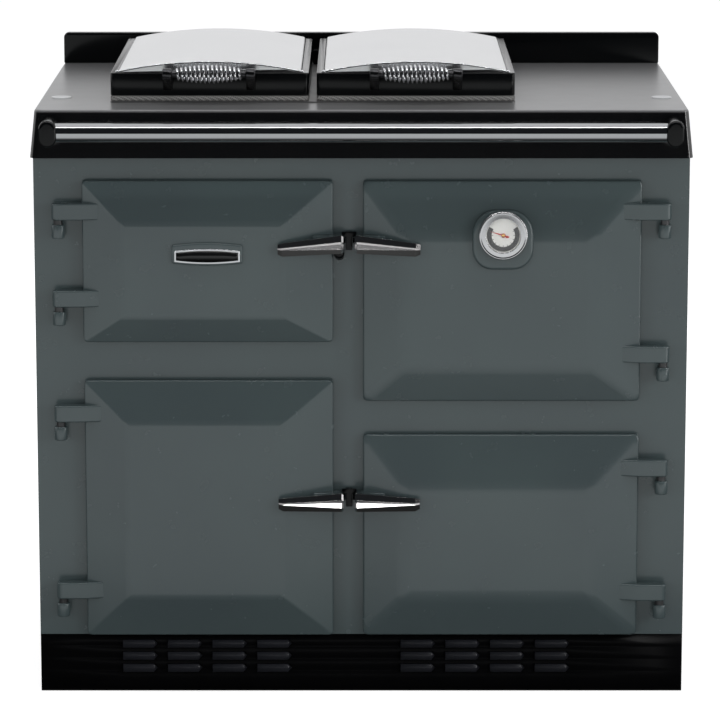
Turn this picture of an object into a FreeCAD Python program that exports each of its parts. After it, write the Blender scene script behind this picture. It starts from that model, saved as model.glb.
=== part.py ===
"""Cast iron range cooker: cabinet, four hinged doors with lever latches, two domed hob lids.

Units are millimetres, +Z up, X to the right, the front faces -Y. The origin is the middle of
the footprint on the floor. Depths in front of the cast front plate are written as a reach.
"""
import FreeCAD, Part
import math
import os

Vec = FreeCAD.Vector
X_AXIS = Vec(1, 0, 0)
Y_AXIS = Vec(0, 1, 0)
Z_AXIS = Vec(0, 0, 1)

# ------------------------------------------------------------------ cabinet
TOP_HEIGHT = 900.0          # floor to the working surface
LIP_WIDTH = 988.0           # top plate across the foot of its lip
LIP_HEIGHT = 71.5
LIP_DRAFT = 7.0             # how far the lip leans in at the top, each side and in front
LIP_OVERHANG = 24.0         # lip foot in front of the front plate
LIP_SIDE_WALL = 7.0
LIP_CORNER = 12.0
LIP_EDGE_ROUND = 3.0
TOP_DEPTH = 625.0
TOP_THICK = 12.0
BODY_INSET = 3.0            # casing inside the lip foot, each side
PLATE_THICK = 12.0
PANEL_THICK = 4.0
REAR_WALL = 10.0
REAR_PANEL_THICK = 3.0
REAR_PANEL_FOOT = 12.0      # rear panel above the floor
UPSTAND_HEIGHT = 50.0
UPSTAND_THICK = 17.0
UPSTAND_ROUND = 8.0
FIT = 0.3                   # gap left round pieces that only lie near each other
RUN_FIT = 0.05              # radial clearance of a pin or shaft that turns
BITE = 1.0                  # how far a cutter or a joined piece passes the face it meets
HAIR = 0.01                 # keeps the two arcs of a rounded end apart

# ------------------------------------------------------------------ base
PLINTH_TOP = 91.0
PLINTH_LIFT = 1.0
PLINTH_SHEET = 3.0
PLINTH_SETBACK = 1.0
BASE_THICK = 12.0
FOOT_INSET_X = 61.0         # foot axis to the casing side
FOOT_INSET_Y = 45.0         # foot axis to the base plate's front or rear edge
FOOT_PAD_R = 25.0
FOOT_PAD_H = 10.0
FOOT_STEM_R = 8.0
LOUVRE_ROWS = 3
LOUVRE_COLUMNS = 4
LOUVRE_LENGTH = 54.0
LOUVRE_HEIGHT = 12.0
LOUVRE_REACH = 4.0
LOUVRE_SLOT = 3.5
LOUVRE_PITCH_X = 68.0
LOUVRE_PITCH_Z = 20.0
LOUVRE_LOW_Z = 35.0
LOUVRE_LEFT_INSET = 123.0   # left group from the casing side
LOUVRE_RIGHT_STEP = 75.5    # right group from the strip between the doors
LOUVRE_LIP = 2.0            # upright lip and closed ends of a louvre
PLINTH_HOLE_R = 4.0
PLINTH_HOLE_STEP = 16.0     # hole beyond the last louvre
PLINTH_HOLE_Z = 36.0

# ------------------------------------------------------------------ towel rail
RAIL_REACH = 55.0           # bracket nose in front of the lip foot
RAIL_R = 14.0
RAIL_WALL = 1.5
RAIL_NOSE = 5.0             # metal of the cup in front of the tube
RAIL_DROP = 28.5            # rail axis below the working surface
CUP_WIDTH = 26.0
CUP_HEIGHT = 40.0
CUP_INSET = 18.0            # cup inside the lip foot, each side
CUP_ROUND = 5.0
RAIL_SEAT = 14.0            # how far the tube enters each cup

# ------------------------------------------------------------------ flue
SPIGOT_LENGTH = 50.0        # behind the top plate
SPIGOT_R = 62.5
SPIGOT_WALL = 4.0
FLANGE_R = 80.0
FLANGE_THICK = 3.0

# ------------------------------------------------------------------ hob
LID_WIDTH = 299.0
LID_GAP = 12.0
LID_PAIR_X = -73.5          # middle of the gap between the lids
LID_SETBACK = 85.0          # lid front behind the front edge of the working surface
LID_REAR_MARGIN = 39.0      # lid rear to the upstand
LID_CORNER = 8.0
RIM_LOW = 11.0              # rim foot above the working surface
RIM_HIGH = 45.0
RIM_WALL = 11.0
RIM_FLOOR = 6.0
DOME_INSET = 8.0
DOME_SHOULDER = 3.0         # dome edge above the rim
DOME_RISE = 14.5            # crown above the dome edge
DOME_SHEET = 2.0
HOTPLATE_RAISE = 2.0
HOTPLATE_MARGIN = 0.5       # hotplate beyond the lids
HOTPLATE_SEAT = 22.0        # flange that lies on the top plate
HOTPLATE_SINK = 20.0        # block below the working surface
SEAL_BAND = 9.0
BOLT_CAP_R = 15.5
BOLT_CAP_H = 1.5
BOLT_CAP_INSET = 37.0       # from the lip foot, each side
BOLT_CAP_SETBACK = 148.0
LID_PIVOT_BACK = 11.0       # pivot behind the lid's rear edge
LID_PIVOT_UP = 40.0         # pivot above the working surface
LID_PIN_R = 3.5
LID_EYE_R = 7.0
LID_LUG_WIDTH = 9.0
LID_BLOCK_WIDTH = 14.0
LID_SIDE_GAP = 0.4
LID_HINGE_SPREAD = 180.0    # between the two hinges of one lid
CENTRE_BLOCK_WIDTH = 9.0
CENTRE_BLOCK_HEIGHT = 26.0
CENTRE_BLOCK_DEPTH = 26.0

# ------------------------------------------------------------------ coil handles
COIL_TURNS = 15
COIL_PITCH = 6.6
COIL_WIRE_R = 1.75
COIL_END_R = 7.0            # wire centre line at the two ends
COIL_MIDDLE_R = 12.25
HANDLE_REACH = 26.0         # handle axis in front of the rim
HANDLE_UP = 46.0            # handle axis above the working surface
HANDLE_ROD_R = 4.0
HANDLE_COLLAR = 6.0         # visible collar between coil and bracket
HANDLE_BRACKET_WIDTH = 14.0
HANDLE_EYE_R = 9.0
BRACKET_FOOT = 8.0          # bracket root above the rim foot
BRACKET_RISE = 7.2          # bracket faces above and below the handle axis
BRACKET_DROP = 8.1

# ------------------------------------------------------------------ doors
FRONT_HEIGHT = 737.5        # plinth to lip foot that the door heights are laid out for
LEFT_DOOR_OUTER = 73.0      # door to the casing side
RIGHT_DOOR_OUTER = 71.5
LEFT_DOOR_INNER = 24.1      # door to the middle of the strip between the doors
RIGHT_DOOR_INNER = 21.0
DOOR_LAP = 42.0             # door beyond its aperture at the sides
DOOR_REAR = 3.0             # skirt foot in front of the plate
DOOR_EDGE = 14.0            # where the skirt turns into the bevel
DOOR_FACE = 34.0            # plateau
DOOR_WALL = 6.0
DOOR_CORNER = 7.0
LINER_REAR = 5.0
LINER_THICK = 5.0
HINGE_INSET = 37.5          # hinge axis to the casing side
HINGE_REACH = 19.0
ARM_END_R = 9.7
ARM_HEIGHT = 25.5
ARM_ROOT = 30.0             # how far the arm runs onto the bevel
ARM_FALL = 1.0              # arm front lower at the door edge, and at its root
ARM_ROOT_FALL = 5.0
ARM_SINK = 2.0
KNUCKLE_R = 9.7
KNUCKLE_HEIGHT = 21.0
KNUCKLE_GAP = 7.0
KNUCKLE_WEB = 14.0
PIN_R = 4.0
PIN_COLLAR_R = 6.5
PIN_SINK = 15.0
PIN_RISE = 17.0
COLLAR_PLAY = 0.2

SEAL_WIDTH = 8.0
SEAL_OFFSET = 12.0          # aperture edge to the rope
SEAL_SINK = 3.0

# ------------------------------------------------------------------ latches
KEEPER_X = -18.5            # middle of the strip between the doors
SPINDLE_SPREAD = 39.0
SPINDLE_R = 5.0
LUG_R = 11.0
LUG_LOW = 12.0
LUG_HIGH = 30.0
LUG_ROOT = 35.0             # how far the lug runs back into the bevel
LEVER_LENGTH = 96.0
LEVER_HUB_HEIGHT = 26.0
LEVER_TIP_HEIGHT = 19.0
UPPER_LEVER_DROOP = 7.0     # lever tip below its hub
LOWER_LEVER_DROOP = 1.5
LEVER_LOW = 31.0
LEVER_HIGH = 58.0
LEVER_NECK = 26.4           # hub end to the lever's thickest place
LEVER_HUB_FALL = 4.0
LEVER_TIP_SLANT = 2.0
SPINDLE_SINK = 8.0          # spindle end below the lever front
LEVER_TIP_LOW = 41.0
LEVER_TIP_HIGH = 53.0
LEVER_CHAMFER = 5.0
CATCH_LOW = 3.5
CATCH_HIGH = 8.5
CATCH_LENGTH = 14.0
CATCH_HEIGHT = 8.0
NOTCH_R = 9.0
KEEPER_REACH = 11.5
KEEPER_LIP = 2.0
KEEPER_HALF = 14.0
KEEPER_WING = 6.0
KEEPER_PLAY = 2.0
UPPER_LATCH_RISE = 611.0    # above the plinth
LOWER_LATCH_RISE = 216.5
BUFFER_R = 7.0
BUFFER_X = -33.0
BUFFER_DROP = 22.0
BUFFER_REACH = 14.0

# ------------------------------------------------------------------ badge and thermometer
BADGE_RISE = 592.0
BADGE_LENGTH = 104.0
BADGE_HEIGHT = 32.0
BADGE_RIM = 3.0
BADGE_RIM_REACH = 3.0
BADGE_INLAY_REACH = 2.0
GAUGE_RISE = 625.0
PAD_WIDTH = 88.0
PAD_BELOW = 52.0
PAD_ABOVE = 44.0
PAD_ROUND = 24.0
PAD_PROUD = 8.0
BEZEL_R = 37.0
BEZEL_BORE_R = 26.0
BEZEL_REACH = 11.0
CASE_R = 34.0
CASE_WALL = 2.0
CASE_REACH = 8.0
DIAL_THICK = 1.0
DIAL_REACH = 4.0            # dial face above the pad
GLASS_THICK = 0.8
POINTER_LENGTH = 21.0
POINTER_TAIL = 9.0
POINTER_THICK = 0.5
POINTER_WIDTH = 2.4
POINTER_HUB_R = 3.2
POINTER_PIN_R = 1.0
POINTER_LIFT = 1.0
POINTER_ANGLE = 163.0       # cold position, measured from the right
PROBE_R = 4.0
PROBE_LENGTH = 46.0

# ------------------------------------------------------------------ inside the cabinet
OVEN_WALL = 6.0
OVEN_CLEAR = 4.0            # oven inside beyond the aperture
OVEN_REAR_GAP = 139.0       # oven rear to the rear panel
RUNNER_WIDTH = 8.0
RUNNER_HEIGHT = 5.0
SHELF_ROD_R = 2.5
SHELF_RODS = 11
SHELF_SETBACK = 30.0
SHELF_REAR_GAP = 24.0
SHELF_SIDE_GAP = 2.0
MAIN_SHELF_LEVELS = (60.0, 130.0)
MAIN_SPARE_LEVEL = 200.0
LOWER_SHELF_LEVEL = 60.0
LOWER_SPARE_LEVEL = 140.0
CHAMBER_REAR_GAP = 159.0
CHAMBER_WALL = 8.0
BURNER_WIDTH = 170.0
BURNER_DEPTH = 190.0
BURNER_HEIGHT = 150.0
BURNER_BACK = 150.0         # burner front behind the plate
BLAST_R = 45.0
CONTROL_BACK = 34.0         # control panel behind the plate's rear face
CONTROL_HEIGHT = 62.0
CONTROL_SHEET = 2.0
KNOB_R = 18.0
KNOB_DEPTH = 20.0
KNOB_SHAFT_R = 4.0
KNOB_STEP = 80.0            # knob right of the aperture's middle
KNOB_GRIP_HALF = 3.0
KNOB_GRIP_REACH = 6.0
KNOB_GRIP_SHORT = 2.0
KNOB_SHAFT_PAST = 10.0
INSULATION_THICK = 38.0

# ------------------------------------------------------------------ derived places
OVERALL_DEPTH = RAIL_REACH + TOP_DEPTH + SPIGOT_LENGTH
FRONT_Y = -OVERALL_DEPTH / 2
LIP_Y = FRONT_Y + RAIL_REACH
REAR_Y = LIP_Y + TOP_DEPTH
PLATE_Y = LIP_Y + LIP_OVERHANG
PLATE_REAR_Y = PLATE_Y + PLATE_THICK
TOP_EDGE_Y = LIP_Y + LIP_DRAFT
LIP_FOOT_Z = TOP_HEIGHT - LIP_HEIGHT
BODY_HALF = LIP_WIDTH / 2 - BODY_INSET
TOP_HALF = LIP_WIDTH / 2 - LIP_DRAFT
PANEL_IN_X = BODY_HALF - PANEL_THICK
REAR_PANEL_Y = REAR_Y - REAR_WALL
UPSTAND_Y = REAR_Y - UPSTAND_THICK
RAIL_Y = FRONT_Y + RAIL_NOSE + RAIL_R
LID_FRONT_Y = TOP_EDGE_Y + LID_SETBACK
LID_REAR_Y = UPSTAND_Y - LID_REAR_MARGIN
RIM_FOOT_Z = TOP_HEIGHT + RIM_LOW
RIM_TOP_Z = TOP_HEIGHT + RIM_HIGH
LID_PIVOT_Y = LID_REAR_Y + LID_PIVOT_BACK
LID_PIVOT_Z = TOP_HEIGHT + LID_PIVOT_UP
HANDLE_Y = LID_FRONT_Y - HANDLE_REACH
HANDLE_Z = TOP_HEIGHT + HANDLE_UP
PAD_FACE = DOOR_FACE + PAD_PROUD
COIL_LENGTH = COIL_TURNS * COIL_PITCH
FOOT_X = BODY_HALF - FOOT_INSET_X
RAIL_Z = TOP_HEIGHT - RAIL_DROP
CUP_OUTER_X = LIP_WIDTH / 2 - CUP_INSET
BOLT_CAP_X = LIP_WIDTH / 2 - BOLT_CAP_INSET
LOUVRE_GROUP_X = (LOUVRE_LEFT_INSET - BODY_HALF, KEEPER_X + LOUVRE_RIGHT_STEP)
PLINTH_HOLE_X = (LOUVRE_GROUP_X[1] + (LOUVRE_COLUMNS - 1) * LOUVRE_PITCH_X + LOUVRE_LENGTH
                 + PLINTH_HOLE_STEP)
HINGE_X = BODY_HALF - HINGE_INSET
LEFT_DOOR_X = (LEFT_DOOR_OUTER - BODY_HALF, KEEPER_X - LEFT_DOOR_INNER)
RIGHT_DOOR_X = (KEEPER_X + RIGHT_DOOR_INNER, BODY_HALF - RIGHT_DOOR_OUTER)
LEFT_HOLE_X = (LEFT_DOOR_X[0] + DOOR_LAP, LEFT_DOOR_X[1] - DOOR_LAP)
RIGHT_HOLE_X = (RIGHT_DOOR_X[0] + DOOR_LAP, RIGHT_DOOR_X[1] - DOOR_LAP)
SPIGOT_X = sum(LEFT_HOLE_X) / 2
BADGE_X = sum(LEFT_DOOR_X) / 2
GAUGE_X = sum(RIGHT_DOOR_X) / 2
KNOB_X = SPIGOT_X + KNOB_STEP
OVEN_DEPTH = REAR_PANEL_Y - OVEN_REAR_GAP - PLATE_REAR_Y
CHAMBER_DEPTH = REAR_PANEL_Y - CHAMBER_REAR_GAP - PLATE_REAR_Y
SHELF_DEPTH = OVEN_DEPTH - OVEN_WALL - SHELF_SETBACK - SHELF_REAR_GAP


def rise(*heights):
    """Z of heights above the plinth, which follow the height of the front."""
    stretch = (LIP_FOOT_Z - PLINTH_TOP) / FRONT_HEIGHT
    places = [PLINTH_TOP + height * stretch for height in heights]
    return places[0] if len(places) == 1 else tuple(places)


UPPER_LATCH_Z = rise(UPPER_LATCH_RISE)
LOWER_LATCH_Z = rise(LOWER_LATCH_RISE)
BADGE_Z = rise(BADGE_RISE)
GAUGE_Z = rise(GAUGE_RISE)

LIDS = {
    "left_lid": LID_PAIR_X - (LID_GAP + LID_WIDTH) / 2,
    "right_lid": LID_PAIR_X + (LID_GAP + LID_WIDTH) / 2,
}

# Bevel profiles from skirt to plateau: share of the bevel's width, share of its rise.
CRISP = ((0.0, 0.0), (1.0, 1.0))
SOFT = ((0.0, 0.0), (0.70, 0.73), (0.86, 0.88), (1.0, 0.965), (1.15, 1.0))

# Each door: outline, aperture behind it, bevel widths, hinge arm heights, hinge side.
DOORS = {
    "upper_left": {
        "x": LEFT_DOOR_X, "z": rise(457.0, 702.5), "hole_x": LEFT_HOLE_X,
        "hole_z": rise(495.0, 665.0), "bevel": (60.0, 74.0, 42.0, 62.0),
        "arms": rise(657.0, 525.0), "side": -1, "latch_z": UPPER_LATCH_Z,
        "droop": UPPER_LEVER_DROOP, "profile": CRISP,
    },
    "lower_left": {
        "x": LEFT_DOOR_X, "z": rise(2.0, 398.5), "hole_x": LEFT_HOLE_X,
        "hole_z": rise(40.0, 360.0), "bevel": (64.0, 76.0, 64.0, 62.0),
        "arms": rise(349.0, 74.5), "side": -1, "latch_z": LOWER_LATCH_Z,
        "droop": LOWER_LEVER_DROOP, "profile": CRISP,
    },
    "upper_right": {
        "x": RIGHT_DOOR_X, "z": rise(366.5, 702.0), "hole_x": RIGHT_HOLE_X,
        "hole_z": rise(406.5, 664.5), "bevel": (73.0, 61.0, 55.0, 80.0),
        "arms": rise(657.0, 440.0), "side": 1, "latch_z": UPPER_LATCH_Z,
        "droop": UPPER_LEVER_DROOP, "profile": SOFT,
    },
    "lower_right": {
        "x": RIGHT_DOOR_X, "z": rise(2.0, 315.0), "hole_x": RIGHT_HOLE_X,
        "hole_z": rise(40.0, 276.5), "bevel": (73.0, 61.0, 64.0, 78.0),
        "arms": rise(265.0, 71.5), "side": 1, "latch_z": LOWER_LATCH_Z,
        "droop": LOWER_LEVER_DROOP, "profile": SOFT,
    },
}
SPIGOT_Z = sum(DOORS["upper_left"]["hole_z"]) / 2


# ------------------------------------------------------------------ helpers
def save(name, shape):
    """Write one node as a STEP file."""
    solids = shape.Solids
    if len(solids) == 1:
        shape = solids[0]
    shape.exportStep("parts/" + name + ".step")


def group(shapes):
    """Hold several separate solids in one node."""
    return Part.makeCompound(shapes)


def box(x0, x1, y0, y1, z0, z1):
    return Part.makeBox(x1 - x0, y1 - y0, z1 - z0, Vec(x0, y0, z0))


def reach_y(reach):
    """Y of a point this far in front of the front plate."""
    return PLATE_Y - reach


def slab(x0, x1, near, far, z0, z1):
    """Box between two reaches in front of the plate."""
    return box(x0, x1, reach_y(far), reach_y(near), z0, z1)


def rod_x(radius, x0, x1, y, z):
    return Part.makeCylinder(radius, x1 - x0, Vec(x0, y, z), X_AXIS)


def rod_y(radius, x, y0, y1, z):
    return Part.makeCylinder(radius, y1 - y0, Vec(x, y0, z), Y_AXIS)


def rod_z(radius, x, y, z0, z1):
    return Part.makeCylinder(radius, z1 - z0, Vec(x, y, z0), Z_AXIS)


def pin_ahead(radius, x, near, far, z):
    """Cylinder along Y between two reaches."""
    return rod_y(radius, x, reach_y(far), reach_y(near), z)


def polygon_face(points):
    return Part.Face(Part.makePolygon(points + [points[0]]))


def rounded_wire(u0, u1, v0, v1, radius, place):
    """Rounded rectangle in (u, v), put into space by place(u, v)."""
    corners = [(u1 - radius, v1 - radius, 0.0), (u0 + radius, v1 - radius, 90.0),
               (u0 + radius, v0 + radius, 180.0), (u1 - radius, v0 + radius, 270.0)]
    points = []
    for cu, cv, start in corners:
        arc = []
        for turn in (0.0, 45.0, 90.0):
            angle = math.radians(start + turn)
            arc.append(place(cu + radius * math.cos(angle), cv + radius * math.sin(angle)))
        points.append(arc)
    edges = []
    for index, arc in enumerate(points):
        edges.append(Part.Arc(*arc).toShape())
        following = points[(index + 1) % 4][0]
        if (following - arc[2]).Length > 1e-6:
            edges.append(Part.makeLine(arc[2], following))
    return Part.Wire(edges)


def at_z(z):
    return lambda u, v: Vec(u, v, z)


def at_reach(reach):
    return lambda u, v: Vec(u, reach_y(reach), v)


def rounded_block(x0, x1, y0, y1, z0, z1, radius):
    """Upright block with its vertical edges rounded."""
    face = Part.Face(rounded_wire(x0, x1, y0, y1, radius, at_z(z0)))
    return face.extrude(Vec(0, 0, z1 - z0))


def rounded_tile(x0, x1, near, far, z0, z1, radius):
    """Block standing off the front plate, with its front outline rounded."""
    face = Part.Face(rounded_wire(x0, x1, z0, z1, radius, at_reach(near)))
    return face.extrude(Vec(0, near - far, 0))


# ------------------------------------------------------------------ base and casing
def levelling_feet(base_front, base_rear):
    feet = []
    for x in (-FOOT_X, FOOT_X):
        for y in (base_front + FOOT_INSET_Y, base_rear - FOOT_INSET_Y):
            pad = rod_z(FOOT_PAD_R, x, y, 0.0, FOOT_PAD_H)
            feet.append(pad.fuse(rod_z(FOOT_STEM_R, x, y, 0.0, PLINTH_TOP)).removeSplitter())
    return feet


def base_plate(front, rear):
    plate = box(-PANEL_IN_X, PANEL_IN_X, front, rear, PLINTH_TOP - BASE_THICK, PLINTH_TOP)
    for x in (-FOOT_X, FOOT_X):
        for y in (front + FOOT_INSET_Y, rear - FOOT_INSET_Y):
            plate = plate.cut(rod_z(FOOT_STEM_R + RUN_FIT, x, y, 0.0, TOP_HEIGHT))
    return plate


def louvre_places():
    for group_x in LOUVRE_GROUP_X:
        for column in range(LOUVRE_COLUMNS):
            for row in range(LOUVRE_ROWS):
                yield group_x + column * LOUVRE_PITCH_X, LOUVRE_LOW_Z + row * LOUVRE_PITCH_Z


def plinth():
    """Sheet steel skirt on three sides, with pressed louvres in its front."""
    face_y = PLATE_Y + PLINTH_SETBACK
    inside_y = face_y + PLINTH_SHEET
    top = PLINTH_TOP - FIT
    outer = box(-BODY_HALF, BODY_HALF, face_y, REAR_PANEL_Y, PLINTH_LIFT, top)
    side_in = BODY_HALF - PLINTH_SHEET
    shape = outer.cut(box(-side_in, side_in, inside_y, REAR_Y, 0.0, TOP_HEIGHT))
    hoods = []
    slots = []
    for x, z in louvre_places():
        high = z + LOUVRE_HEIGHT / 2
        low = z - LOUVRE_HEIGHT / 2
        lip_y = face_y - LOUVRE_REACH
        hood = polygon_face([Vec(x, inside_y - BITE, high), Vec(x, lip_y, low + LOUVRE_LIP),
                             Vec(x, lip_y, low), Vec(x, inside_y - BITE, low)])
        hoods.append(hood.extrude(Vec(LOUVRE_LENGTH, 0, 0)))
        slots.append(box(x + LOUVRE_LIP, x + LOUVRE_LENGTH - LOUVRE_LIP, lip_y + BITE,
                         inside_y + BITE, low - BITE, low + LOUVRE_SLOT))
    shape = shape.fuse(hoods).cut(group(slots))
    return shape.cut(rod_y(PLINTH_HOLE_R, PLINTH_HOLE_X, face_y - BITE, inside_y + BITE,
                           PLINTH_HOLE_Z))


def front_plate():
    """Cast plate with four apertures and a rope groove round each."""
    plate = box(-BODY_HALF, BODY_HALF, PLATE_Y, PLATE_REAR_Y, PLINTH_TOP, LIP_FOOT_Z)
    for door in DOORS.values():
        x0, x1 = door["hole_x"]
        z0, z1 = door["hole_z"]
        plate = plate.cut(box(x0, x1, PLATE_Y - BITE, PLATE_REAR_Y + BITE, z0, z1))
        plate = plate.cut(seal_ring(door, -SEAL_SINK, BITE, 0.0))
    return plate


def seal_ring(door, near, far, play):
    """Rectangular ring round an aperture, between two reaches."""
    x0, x1 = door["hole_x"]
    z0, z1 = door["hole_z"]
    inner = SEAL_OFFSET + play
    outer = SEAL_OFFSET + SEAL_WIDTH - play
    ring = rounded_tile(x0 - outer, x1 + outer, near, far, z0 - outer, z1 + outer, outer)
    return ring.cut(rounded_tile(x0 - inner, x1 + inner, near - BITE, far + BITE,
                                 z0 - inner, z1 + inner, inner))


def top_outline():
    """The top plate's outer form: a low block whose lip leans inwards."""
    foot = rounded_wire(-LIP_WIDTH / 2, LIP_WIDTH / 2, LIP_Y, REAR_Y, LIP_CORNER, at_z(LIP_FOOT_Z))
    head = rounded_wire(-TOP_HALF, TOP_HALF, TOP_EDGE_Y, REAR_Y, LIP_CORNER, at_z(TOP_HEIGHT))
    return Part.makeLoft([foot, head], True, True)


def hob_extent():
    """Outline of the hotplate: both lids and a margin."""
    half = LID_WIDTH + LID_GAP / 2 + HOTPLATE_MARGIN
    return (LID_PAIR_X - half, LID_PAIR_X + half,
            LID_FRONT_Y - HOTPLATE_MARGIN, LID_REAR_Y + HOTPLATE_MARGIN)


def top_plate():
    shape = top_outline()
    rim = [e for e in shape.Edges if abs(e.BoundBox.ZMin - TOP_HEIGHT) < 0.01]
    shape = shape.makeFillet(LIP_EDGE_ROUND, rim)
    inner = LIP_WIDTH / 2 - LIP_DRAFT - LIP_SIDE_WALL
    shape = shape.cut(box(-inner, inner, PLATE_REAR_Y, REAR_PANEL_Y,
                          LIP_FOOT_Z - BITE, TOP_HEIGHT - TOP_THICK))
    x0, x1, y0, y1 = hob_extent()
    seat = HOTPLATE_SEAT
    return shape.cut(box(x0 + seat, x1 - seat, y0 + seat, y1 - seat,
                         LIP_FOOT_Z, TOP_HEIGHT + BITE))


def rear_upstand():
    face = Part.Face(rounded_wire(-TOP_HALF, TOP_HALF, TOP_HEIGHT, TOP_HEIGHT + UPSTAND_HEIGHT,
                                  UPSTAND_ROUND, lambda u, v: Vec(u, UPSTAND_Y, v)))
    shape = face.extrude(Vec(0, UPSTAND_THICK, 0))
    foot = box(-TOP_HALF, TOP_HALF, UPSTAND_Y, REAR_Y, TOP_HEIGHT, TOP_HEIGHT + UPSTAND_ROUND)
    return shape.fuse(foot).removeSplitter()


def hotplate():
    x0, x1, y0, y1 = hob_extent()
    flange = rounded_block(x0, x1, y0, y1, TOP_HEIGHT, TOP_HEIGHT + HOTPLATE_RAISE, LID_CORNER)
    inset = HOTPLATE_SEAT + FIT
    block = box(x0 + inset, x1 - inset, y0 + inset, y1 - inset,
                TOP_HEIGHT - HOTPLATE_SINK, TOP_HEIGHT)
    return flange.fuse(block).removeSplitter()


def lid_seals():
    """Braided rope under each lid rim, laid on the hotplate."""
    rings = []
    low = TOP_HEIGHT + HOTPLATE_RAISE
    high = RIM_FOOT_Z - FIT
    for middle in LIDS.values():
        half = LID_WIDTH / 2
        inner = half - SEAL_BAND
        ring = rounded_block(middle - half, middle + half, LID_FRONT_Y, LID_REAR_Y,
                             low, high, LID_CORNER)
        hole = box(middle - inner, middle + inner, LID_FRONT_Y + SEAL_BAND,
                   LID_REAR_Y - SEAL_BAND, low - BITE, high + BITE)
        rings.append(ring.cut(hole))
    return rings


def bolt_caps():
    y = TOP_EDGE_Y + BOLT_CAP_SETBACK
    return [rod_z(BOLT_CAP_R, x, y, TOP_HEIGHT, TOP_HEIGHT + BOLT_CAP_H)
            for x in (-BOLT_CAP_X, BOLT_CAP_X)]


def rail_half():
    return CUP_OUTER_X - CUP_WIDTH + RAIL_SEAT


def rail_tube():
    half = rail_half()
    tube = rod_x(RAIL_R, -half, half, RAIL_Y, RAIL_Z)
    return tube.cut(rod_x(RAIL_R - RAIL_WALL, -half - BITE, half + BITE, RAIL_Y, RAIL_Z))


def rail_brackets(lip):
    """Oval cups that carry the rail's ends, shaped to the leaning lip."""
    cups = []
    half = rail_half()
    for side in (-1, 1):
        x0 = min(side * CUP_OUTER_X, side * (CUP_OUTER_X - CUP_WIDTH))
        wire = rounded_wire(x0, x0 + CUP_WIDTH, RAIL_Z - CUP_HEIGHT / 2, RAIL_Z + CUP_HEIGHT / 2,
                            CUP_WIDTH / 2 - HAIR, lambda u, v: Vec(u, FRONT_Y, v))
        cup = Part.Face(wire).extrude(Vec(0, RAIL_REACH + LIP_DRAFT, 0))
        nose = [e for e in cup.Edges if abs(e.BoundBox.YMax - FRONT_Y) < 0.01]
        cup = cup.makeFillet(CUP_ROUND, nose).cut(lip)
        cups.append(cup.cut(rod_x(RAIL_R, -half, half, RAIL_Y, RAIL_Z)))
    return cups


def casing_panels():
    """Side panels and the rear panel with its flue hole."""
    left = box(-BODY_HALF, -PANEL_IN_X, PLATE_REAR_Y, REAR_PANEL_Y, PLINTH_TOP, LIP_FOOT_Z)
    right = box(PANEL_IN_X, BODY_HALF, PLATE_REAR_Y, REAR_PANEL_Y, PLINTH_TOP, LIP_FOOT_Z)
    rear = box(-BODY_HALF, BODY_HALF, REAR_PANEL_Y, REAR_PANEL_Y + REAR_PANEL_THICK,
               REAR_PANEL_FOOT, LIP_FOOT_Z)
    rear = rear.cut(rod_y(SPIGOT_R + FIT, SPIGOT_X, REAR_PANEL_Y - BITE, REAR_Y, SPIGOT_Z))
    return left, right, rear


# ------------------------------------------------------------------ inside
def open_box(hole_x, hole_z, clear, wall, depth):
    """Cast box behind an aperture, open to the front."""
    x0, x1 = hole_x[0] - clear, hole_x[1] + clear
    z0, z1 = hole_z[0] - clear, hole_z[1] + clear
    outer = box(x0 - wall, x1 + wall, PLATE_REAR_Y, PLATE_REAR_Y + depth, z0 - wall, z1 + wall)
    return outer.cut(box(x0, x1, PLATE_REAR_Y - BITE, PLATE_REAR_Y + depth - wall, z0, z1))


def oven(door, levels):
    """Oven box with runners on both side walls."""
    shape = open_box(door["hole_x"], door["hole_z"], OVEN_CLEAR, OVEN_WALL, OVEN_DEPTH)
    x0 = door["hole_x"][0] - OVEN_CLEAR
    x1 = door["hole_x"][1] + OVEN_CLEAR
    y0 = PLATE_REAR_Y + SHELF_SETBACK
    runners = []
    for level in levels:
        z = door["hole_z"][0] + level
        for wall_x in (x0, x1 - RUNNER_WIDTH):
            runners.append(box(wall_x, wall_x + RUNNER_WIDTH, y0, y0 + SHELF_DEPTH,
                               z - RUNNER_HEIGHT, z))
    return shape.fuse(runners).removeSplitter()


def wire_shelf(door, level):
    """Grid shelf lying on one pair of runners."""
    x0 = door["hole_x"][0] - OVEN_CLEAR + SHELF_SIDE_GAP
    x1 = door["hole_x"][1] + OVEN_CLEAR - SHELF_SIDE_GAP
    y0 = PLATE_REAR_Y + SHELF_SETBACK
    y1 = y0 + SHELF_DEPTH
    z = door["hole_z"][0] + level + SHELF_ROD_R
    near = y0 + SHELF_ROD_R
    far = y1 - SHELF_ROD_R
    rods = [rod_x(SHELF_ROD_R, x0, x1, y, z) for y in (near, (near + far) / 2, far)]
    step = (x1 - x0 - 2 * SHELF_ROD_R) / (SHELF_RODS - 1)
    for index in range(SHELF_RODS):
        x = x0 + SHELF_ROD_R + index * step
        rods.append(rod_y(SHELF_ROD_R, x, near, far, z))
    shape = rods[0]
    return shape.fuse(rods[1:])


def flue_outlet(chamber_rear):
    """Round flue pipe from the chamber's rear through the casing."""
    end = REAR_Y + SPIGOT_LENGTH
    pipe = rod_y(SPIGOT_R, SPIGOT_X, chamber_rear, end, SPIGOT_Z)
    flange_y = REAR_PANEL_Y + REAR_PANEL_THICK
    pipe = pipe.fuse(rod_y(FLANGE_R, SPIGOT_X, flange_y, flange_y + FLANGE_THICK, SPIGOT_Z))
    return pipe.cut(rod_y(SPIGOT_R - SPIGOT_WALL, SPIGOT_X, chamber_rear - BITE, end + BITE,
                          SPIGOT_Z))


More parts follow.
